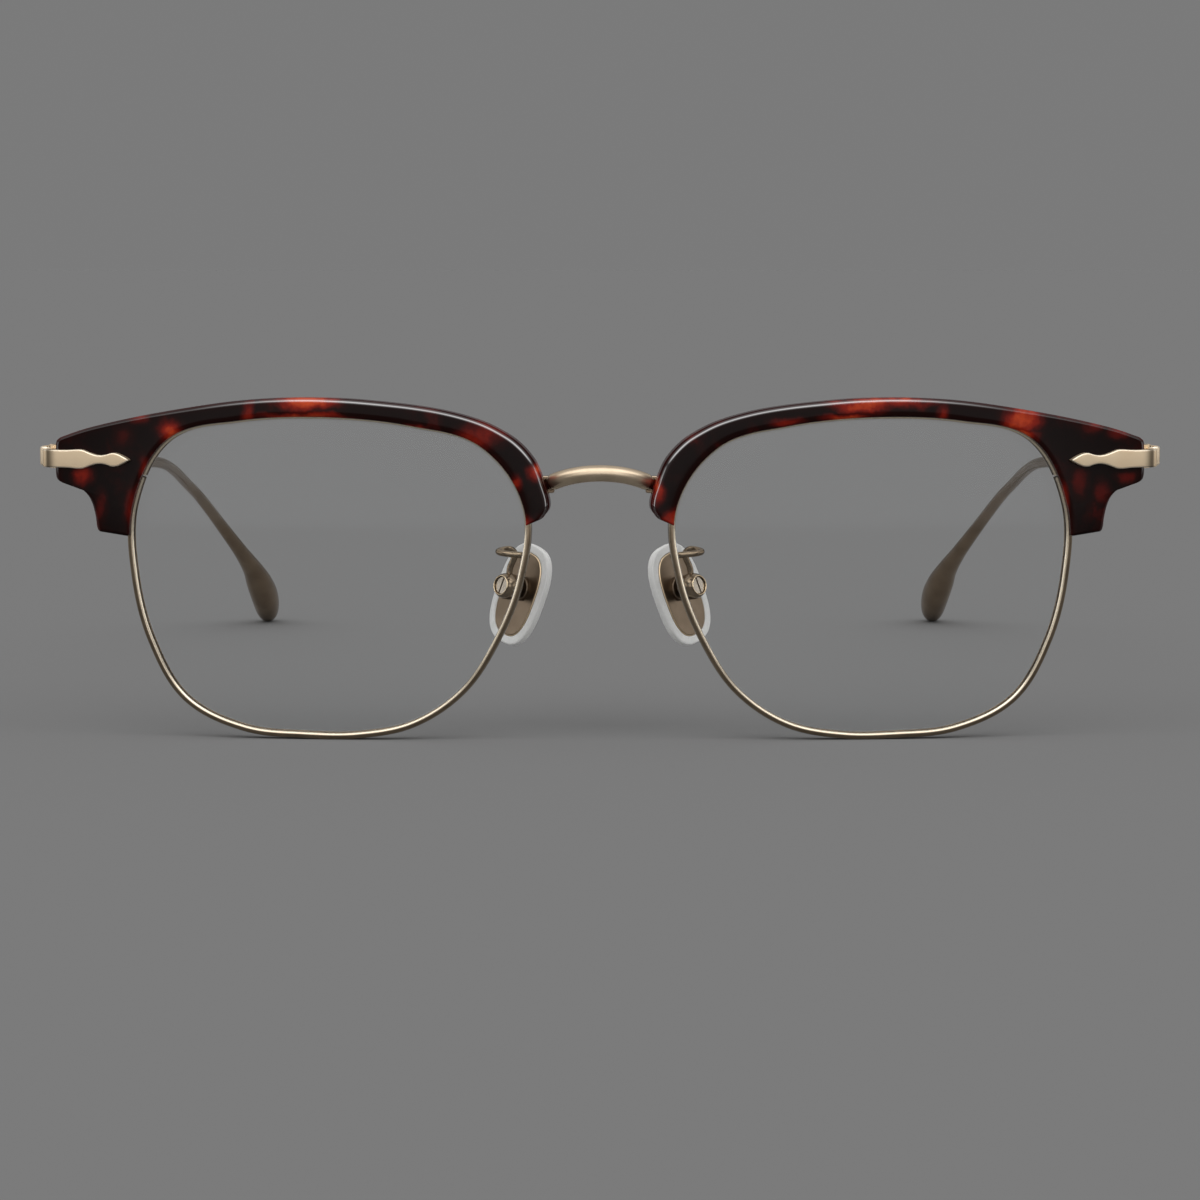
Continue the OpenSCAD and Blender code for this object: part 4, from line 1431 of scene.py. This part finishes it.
@dataclass
class Bridge:
    """The bent bar between the brows, with its two tabs."""

    shape: FrontShape
    bar_r: float = 1.05
    bend_r: float = 9.4
    lean: float = 55.0
    tab_angle: float = 25.2
    tab_t: float = 0.9
    tab_h: float = 2.2
    end_x: float = 6.6
    tab_u: float = 8.9
    # Length of the darker, thinner piece at each end of the bar.
    dark_end_l: float = 0.75

    def arc(self, start: float, stop: float, scale: float, edge_r: float) -> Skin:
        """Part of the bar, on an arc that leans forward, with round edges at its ends.

        The arc's point at the angle q is bend_r (sin q, 0, cos q), less its height at the ends,
        and the whole is leaned about the line through the ends.

        Args:
            start: where the part starts, in mm along the arc from its middle.
            stop: where it ends.
            scale: its radius as a share of the bar's.
            edge_r: the rounding of its ends.

        Returns:
            The part of the bar.
        """
        length = np.concatenate([start + edge_r * np.linspace(0, 1, 7)[:-1] ** 2,
                                 np.linspace(start + edge_r, stop - edge_r, 90),
                                 stop - edge_r * np.linspace(1, 0, 7)[1:] ** 2])
        q = length / self.bend_r
        top = math.asin(self.end_x / self.bend_r)
        path = np.stack([self.bend_r * np.sin(q), np.zeros_like(q),
                         self.bend_r * (np.cos(q) - math.cos(top))], axis=1)
        path = path @ turn_about("x", self.lean).T + [0.0, self.end_y, self.height]
        away = np.minimum(length - start, stop - length)
        short = np.clip(1 - away / edge_r, 0, 1)
        radius = self.bar_r * scale - edge_r * (1 - np.sqrt(1 - short ** 2))
        # Painted highlight near the ends of each part of the bar.
        glow = 0.5 * np.exp(-away / 0.2)
        return sweep(path, oval(radius, radius, 56), np.array([0.0, 0.8, 0.6]), glow[:, None])

    @property
    def half_arc(self) -> float:
        """Length along the bar from its middle to its end."""
        return self.bend_r * math.asin(self.end_x / self.bend_r)

    @property
    def height(self) -> float:
        """Height of the tabs."""
        s = self.shape
        return float(s.edge(self.tab_angle, s.rim_out + s.gap)[1])

    @property
    def end_y(self) -> float:
        """Depth of the bar's ends.

        Returns:
            The depth, behind the brows' backs.
        """
        s = self.shape
        flat = np.array([self.end_x, self.height])
        back = turn_about("z", s.wrap) @ np.array([self.end_x, s.depth(flat, -s.brow_behind), 0])
        return float(back[1]) + self.tab_t / 2 + 2 * s.gap

    def tab(self) -> Skin:
        """Tab behind the brow, in the half front.

        Returns:
            The tab.
        """
        s = self.shape
        rim_u = float(s.edge(self.tab_angle, s.rim_out + s.gap)[0])
        at = np.array([self.tab_u, self.height])
        depth = float(s.depth(at, -s.brow_behind)) + 2 * s.gap
        low, high = self.end_x - self.tab_u - 0.4, rim_u - self.tab_u
        h = self.tab_h / 2
        box = soften(np.array([[low, -h], [high, -h], [high, h], [low, h]]),
                     np.array([0.3, 0.1, 0.1, 0.3]), 5)
        turn = math.degrees(math.asin((self.tab_u - s.centre[0]) / s.base_r))
        upright = np.array([[1, 0, 0], [0, 0, 1], [0, 1, 0]])
        return slab(box, 0.0, self.tab_t, 0.14).moved(
            turn_about("z", turn) @ upright, np.array([self.tab_u, depth, self.height]))

    def build(self, gold: Material, dark: Material) -> None:
        """Makes the bar, its darker and thinner ends, and its tabs.

        Args:
            gold: the bar's finish.
            dark: the finish of its ends and tabs.
        """
        s = self.shape
        centred = s.mirrored(Side.LEFT)
        end, inner = self.half_arc, self.half_arc - self.dark_end_l
        put("bridge_bar", self.arc(-inner, inner, 1.0, 0.22).through(centred), gold,
            "front", "champagne_metal", "bridge")
        # A darker, thinner piece at each end of the bar.
        for side in Side:
            span = sorted((side.value * (inner - 0.1), side.value * end))
            put(f"bridge_collar_{side.word}", self.arc(*span, 0.9, 0.1).through(centred), dark,
                "front", "champagne_metal", "bridge")
        for side in Side:
            put(f"bridge_tab_{side.word}", self.tab().through(s.to_whole(side)), dark, "front",
                "champagne_metal", "bridge")


@dataclass
class NosePads:
    """The pads with their cores, holders and arms."""

    shape: FrontShape
    w: float = 8.6
    l: float = 13.4
    t: float = 1.7
    border: float = 1.1
    x: float = 10.2
    y: float = 13.2
    drop: float = 2.3
    splay: float = 45.0
    lean: float = 11.0
    roll: float = 17.0
    post_r: float = 0.8
    post_l: float = 3.2
    holder_r: float = 1.7
    sink_r: float = 1.15
    arm_r: float = 0.4
    arm_in_at: float = 2.2
    foot_angle: float = 5.8
    squareness: float = 2.7
    shift: tuple[float, float] = (0.3, -0.85)
    foot_rows: tuple = ((0, 0, 0), (.4, .85, .05), (1.6, 1.3, .1), (2.9, 1.75, .2),
                        (3.6, 2.5, .35), (3.15, 3.3, .5), (2.1, 3.85, .55))
    end_rows: tuple = ((-.8, -.6, 3), (-.55, -.2, 2.2), (-.1, 0, 1.1), (0, 0, 0))

    @property
    def post(self) -> Array:
        """Place of the left pad's post."""
        return np.array([self.x, self.y, self.shape.centre[1] - self.drop])

    @property
    def tilt(self) -> Array:
        """Turn of the left pad's post, without the pad's roll about it."""
        return turn_about("z", -self.splay) @ turn_about("y", -self.lean)

    def _place(self, side: Side) -> Move:
        """A function from the pad's frame, with x along the post, to the part's frame."""
        turn = self.tilt @ turn_about("x", self.roll)
        return lambda p: self.shape.mirrored(side)(p @ turn.T + self.post)

    def _oval(self, inset: Array, count: int = 160) -> Array:
        """Superellipse |y / a|^n + |z / b|^n = 1 drawn in by inset, one for each inset.

        Args:
            inset: how far each outline is drawn in.
            count: the points in an outline.

        Returns:
            The outlines in the pad's plane.
        """
        q = np.linspace(0.0, 2 * math.pi, count, endpoint=False)
        c, s, e = np.cos(q), np.sin(q), 2 / self.squareness
        inset = np.asarray(inset, float)[..., None]
        y = self.shift[0] + np.sign(c) * np.abs(c) ** e * (self.w / 2 - inset)
        z = self.shift[1] + np.sign(s) * np.abs(s) ** e * (self.l / 2 - inset)
        return np.stack([y, z], axis=-1)

    def cushion(self) -> Skin:
        """Silicone cushion: rings of the pad's outline from its face to its back.

        The face bulges as a quarter ellipse of depth and inset, the wall is round, and the
        back has a lip round the seat of the core.

        Returns:
            The cushion in the pad's frame.
        """
        q = np.linspace(0.0, math.pi / 2, 14)
        face_in = 2.9 * (1 - np.sin(q)) ** 1.1
        face_x = -self.t * (0.42 + 0.58 * np.cos(q))
        wall_x = np.linspace(-0.42 * self.t, -0.25, 6)[1:]
        lip = np.radians(np.linspace(0, 90, 6))[1:]
        seat = self.border - self.shape.gap
        inset = np.concatenate([face_in, np.zeros(5), 0.25 * (1 - np.cos(lip)),
                                [seat - 0.12, seat, seat]])
        depth = np.concatenate([face_x, wall_x, -0.25 + 0.25 * np.sin(lip),
                                [0.0, -0.08, -0.6]])
        flat = self._oval(inset)
        rings = np.concatenate([np.broadcast_to(depth[:, None, None], (*flat.shape[:2], 1)), flat],
                               axis=2)
        return loft(rings)

    def core(self) -> Skin:
        """Metal core: a plate with round edges, a collar and the post, with its screw hole.

        Returns:
            The core in the pad's frame.
        """
        plate = slab(self._oval(np.array(self.border)), -0.55, 0.05, 0.2)
        plate = plate.moved(np.array([[0, 0, 1], [1, 0, 0], [0, 1, 0]]))
        corners = np.array([[-0.1, 1e-6], [-0.1, 1.6], [0.55, 1.6], [0.55, self.post_r],
                            [self.post_l, self.post_r], [self.post_l, 0.43],
                            [1.35, 0.43], [1.35, 1e-6]])
        radii = np.array([0.0, 0.0, 0.14, 0.1, 0.1, 0.04, 0.0, 0.0])
        turned = soften(corners, radii, 4)
        return plate + lathe(turned[5:], 64)

    def holder(self) -> Skin:
        """Holder: a turned sleeve with a recess for the screw's head.

        Returns:
            The holder in the pad's frame.
        """
        bore, sink, r = self.post_r + self.shape.gap, self.sink_r, self.holder_r
        corners = np.array([[1.1, bore], [1.1, r - 0.5], [1.55, r], [3.15, r], [3.85, r - 0.42],
                            [3.85, sink], [3.25, sink], [3.25, bore]])
        radii = np.array([0.08, 0.45, 0.9, 0.9, 0.2, 0.1, 0.05, 0.05])
        skin = lathe(soften(corners, radii, 6), 72)
        # Painted highlight on a ring round the edge of the recess.
        across = np.linalg.norm(skin.points[:, 1:], axis=1)
        skin.glow = np.exp(-((across - sink - 0.05) / 0.09) ** 2) * (skin.points[:, 0] > 3.7)
        return skin

    def arm(self) -> Skin:
        """Wire arm from the rim's back, round its loop and down into the holder.

        Returns:
            The arm in the uncentred left half.
        """
        s = self.shape
        foot = s.edge(self.foot_angle, (s.rim_out - s.groove_d) / 2)
        foot = turn_about("z", s.wrap) @ s.lift(foot, -s.rim_d / 2)
        end = self.post + self.tilt @ np.array([self.arm_in_at, 0.0, 0.0])
        end = end + [0.0, 0.0, self.holder_r - self.arm_r]
        rows = np.vstack([foot + np.array(self.foot_rows), end + np.array(self.end_rows)])
        path = spline(rows, 16)
        flare = np.clip(1 - np.arange(len(path)) / 14, 0, 1) ** 2
        radius = self.arm_r * (1 + 0.35 * flare)
        return sweep(path, oval(radius, radius, 28), np.array([0.8, 0.1, 0.6]))

    def build(self, silicone: Material, metal: Material,
              plate: Material) -> None:
        """Makes the pieces of both pads.

        Args:
            silicone: the cushions' finish.
            metal: the holders' and arms'.
            plate: the cores'.
        """
        for side in Side:
            word, place = side.word, self._place(side)
            body = f"{word}_pad"
            put(f"pad_cushion_{word}", self.cushion().through(place), silicone, body,
                "silicone", f"nose_pad_{word}")
            put(f"pad_plate_{word}", self.core().through(place), plate, body, "pad_metal",
                f"pad_core_{word}")
            put(f"pad_sleeve_{word}", self.holder().through(place), metal, "front",
                "pad_metal", f"pad_holder_{word}")
            put(f"pad_wire_{word}", self.arm().through(self.shape.mirrored(side)), metal,
                "front", "pad_metal", f"pad_arm_{word}")


# Studio


@dataclass(frozen=True)
class Studio:
    """Floor, light and camera."""

    grey: float = 0.196
    focal_px: float = 3474.0
    eye: tuple[float, float, float] = (0.0, -0.50897, 0.06419)
    tilt: float = 5.99
    photo_px: float = 1200.0
    sensor_mm: float = 36.0
    floor_half: float = 6.0

    def floor(self) -> None:
        """Plain floor."""
        half = self.floor_half
        corners = [(-half, -half, 0), (half, -half, 0), (half, half, 0), (-half, half, 0)]
        mesh = bpy.data.meshes.new("floor")
        mesh.from_pydata(corners, [], [(0, 1, 2, 3)])
        mesh.materials.append(PlainFloor(self.grey).build("floor_grey"))
        floor = bpy.data.objects.new("floor", mesh)
        bpy.context.scene.collection.objects.link(floor)

    def light(self) -> None:
        """World with soft boxes above and in front, over a plain grey that the camera sees."""
        world = bpy.data.worlds.new("studio")
        world.use_nodes = True
        bpy.context.scene.world = world
        book = NodeBook(world.node_tree)
        way = book.add("ShaderNodeTexCoord", out="Generated")
        x, y, z = (book.add("ShaderNodeSeparateXYZ", None, {0: way}, k) for k in range(3))
        ahead = (y * -1.0).rise(-0.1, 0.25)
        top = z.rise(0.45, 0.62) * z.rise(1.0, 0.93, 0.55, 1.0) * (0.45 + 1.75 * ahead)
        panel = (y * -1.0).rise(0.62, 0.9) * z.rise(0.62, 0.4) * 1.25
        aside = x.maths("ABSOLUTE").rise(0.88, 0.96) * z.rise(0.7, 0.5) * 1.3
        glow = 0.17 + top * 0.88 + panel + aside
        low = z.rise(-0.02, 0.02)
        glow = glow * low + (1 - low) * self.grey
        camera = book.add("ShaderNodeLightPath", out="Is Camera Ray")
        strength = glow * (1 - camera) + camera * self.grey
        shader = book.add("ShaderNodeBackground", None, {"Color": (1, 1, 1, 1),
                                                         "Strength": strength})
        book.add("ShaderNodeOutputWorld", None, {"Surface": shader})

    def camera(self) -> None:
        """Camera at the photograph's place, turned down by its tilt."""
        data = bpy.data.cameras.new("camera")
        data.sensor_width = self.sensor_mm
        data.lens = self.focal_px / self.photo_px * self.sensor_mm
        data.clip_start, data.clip_end = 0.01, 100.0
        camera = bpy.data.objects.new("camera", data)
        bpy.context.scene.collection.objects.link(camera)
        camera.location = self.eye
        camera.rotation_euler = (math.radians(90 - self.tilt), 0.0, 0.0)
        bpy.context.scene.camera = camera
        bpy.context.scene.view_settings.view_transform = "Standard"

    def build(self) -> None:
        """Makes the whole stage."""
        self.floor()
        self.light()
        self.camera()


LEFT_PATCHES = (
    Patch(7.5, 32.0, 0.6, 1.5, 0.7), Patch(9.0, 28.3, 0.9, 0.8, 0.65),
    Patch(23.4, 40.8, 1.8, 0.5, 0.55), Patch(33.2, 42.8, 3.0, 0.8, 0.9),
    Patch(31.0, 41.3, 2.3, 0.4, 0.85), Patch(38.4, 43.0, 3.0, 0.5, 0.7),
    Patch(43.3, 41.8, 0.6, 1.0, 0.6), Patch(53.6, 40.9, 1.9, 1.1, 1.0),
    Patch(53.4, 39.1, 1.8, 0.6, 0.8), Patch(62.8, 39.8, 1.1, 0.6, 0.35),
    Patch(66.1, 38.9, 1.1, 0.6, 0.4), Patch(61.2, 33.0, 1.0, 1.4, 0.45),
    Patch(64.2, 31.7, 0.8, 1.3, 0.45), Patch(67.6, 33.6, 1.1, 0.6, 0.5),
    Patch(59.1, 31.3, 0.5, 1.5, 0.35))
RIGHT_PATCHES = (
    Patch(-54.7, 39.6, 1.4, 1.1, 0.9), Patch(-54.1, 38.2, 1.1, 0.8, 0.9),
    Patch(-58.7, 40.8, 1.0, 0.5, 0.35), Patch(-60.6, 38.7, 1.1, 1.1, 0.3),
    Patch(-44.4, 41.8, 0.6, 1.1, 0.6), Patch(-37.0, 43.0, 2.8, 0.8, 1.0),
    Patch(-37.3, 41.4, 4.3, 0.4, 0.7), Patch(-66.0, 33.8, 1.1, 1.1, 0.7),
    Patch(-63.7, 30.1, 0.6, 1.5, 0.35), Patch(-59.9, 30.3, 0.6, 1.8, 0.35),
    Patch(-58.2, 34.7, 0.6, 1.3, 0.35), Patch(-23.2, 40.2, 1.3, 0.4, 0.6),
    Patch(-15.2, 38.9, 2.2, 1.3, 0.6), Patch(-8.1, 34.2, 0.8, 0.9, 0.72),
    Patch(-10.5, 33.3, 0.6, 0.8, 0.6), Patch(-9.2, 27.9, 0.9, 0.7, 0.5))


# The third colour of each metal is the painted highlight that its marked edges take.
RIM_BRONZE = BrushedMetal((0.27, 0.205, 0.14), (0.18, 0.135, 0.09), (1.0, 0.88, 0.70), 0.26)
TEMPLE_BRONZE = BrushedMetal((0.34, 0.25, 0.17), (0.24, 0.172, 0.115), (0.6, 0.5, 0.4), 0.25,
                             (1.0, 0.06, 1.0))
CHAMPAGNE = BrushedMetal((0.98, 0.79, 0.55), (0.95, 0.74, 0.50), (1.0, 0.93, 0.80), 0.48,
                         (0.05, 1.0, 1.0))
BRIDGE_GOLD = BrushedMetal((0.66, 0.53, 0.385), (0.54, 0.43, 0.30), (0.95, 0.84, 0.68), 0.34,
                           (0.05, 1.0, 1.0))
PAD_BRONZE = BrushedMetal((0.34, 0.265, 0.185), (0.24, 0.18, 0.125), (1.0, 0.80, 0.55), 0.22)
PLATE_BRONZE = BrushedMetal((0.20, 0.152, 0.108), (0.15, 0.113, 0.079), (1.0, 0.78, 0.52), 0.34)
STEEL = BrushedMetal((0.42, 0.37, 0.31), (0.32, 0.28, 0.23), (0.8, 0.76, 0.7), 0.25)
WASHER_NYLON = PlainPolymer((0.8, 0.78, 0.72))


def main() -> None:
    """Builds the studio and every piece of the glasses."""
    Studio().build()
    shape = FrontShape()
    low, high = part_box("hinge_screws")
    shape.centre_y = (low.y + high.y) / 2 / MM - EndPieces(shape).hinge[1]
    bronze = RIM_BRONZE.build("bronze_wire")
    dark = TEMPLE_BRONZE.build("brown_bronze")
    champagne = CHAMPAGNE.build("champagne_gold")
    gold = BRIDGE_GOLD.build("bridge_gold")
    pad_metal = PAD_BRONZE.build("pad_bronze")
    plate_metal = PLATE_BRONZE.build("plate_bronze")
    steel = STEEL.build("turned_steel")
    Rims(shape).build(bronze, ClearLens().build("clear_lens"))
    Brows(shape).build(TortoiseAcetate(LEFT_PATCHES).build("tortoise_left"),
                       TortoiseAcetate(RIGHT_PATCHES).build("tortoise_right"))
    ends = EndPieces(shape)
    ends.build(champagne)
    Temples(shape, ends).build(dark, champagne)
    Bridge(shape).build(gold, dark)
    NosePads(shape).build(Silicone().build("pad_silicone"), pad_metal, plate_metal)
    for node in ("closing_screws", "brow_screws", "hinge_screws"):
        dress(node, steel)
    dress("hinge_washers", WASHER_NYLON.build("washer_nylon"))
    for side in Side:
        dress(f"pad_screw_{side.word}", steel)
        dress(f"end_bracket_{side.word}", champagne)
        for place in ("upper", "lower"):
            dress(f"closing_block_{place}_{side.word}", dark)


if __name__ == "__main__":
    main()
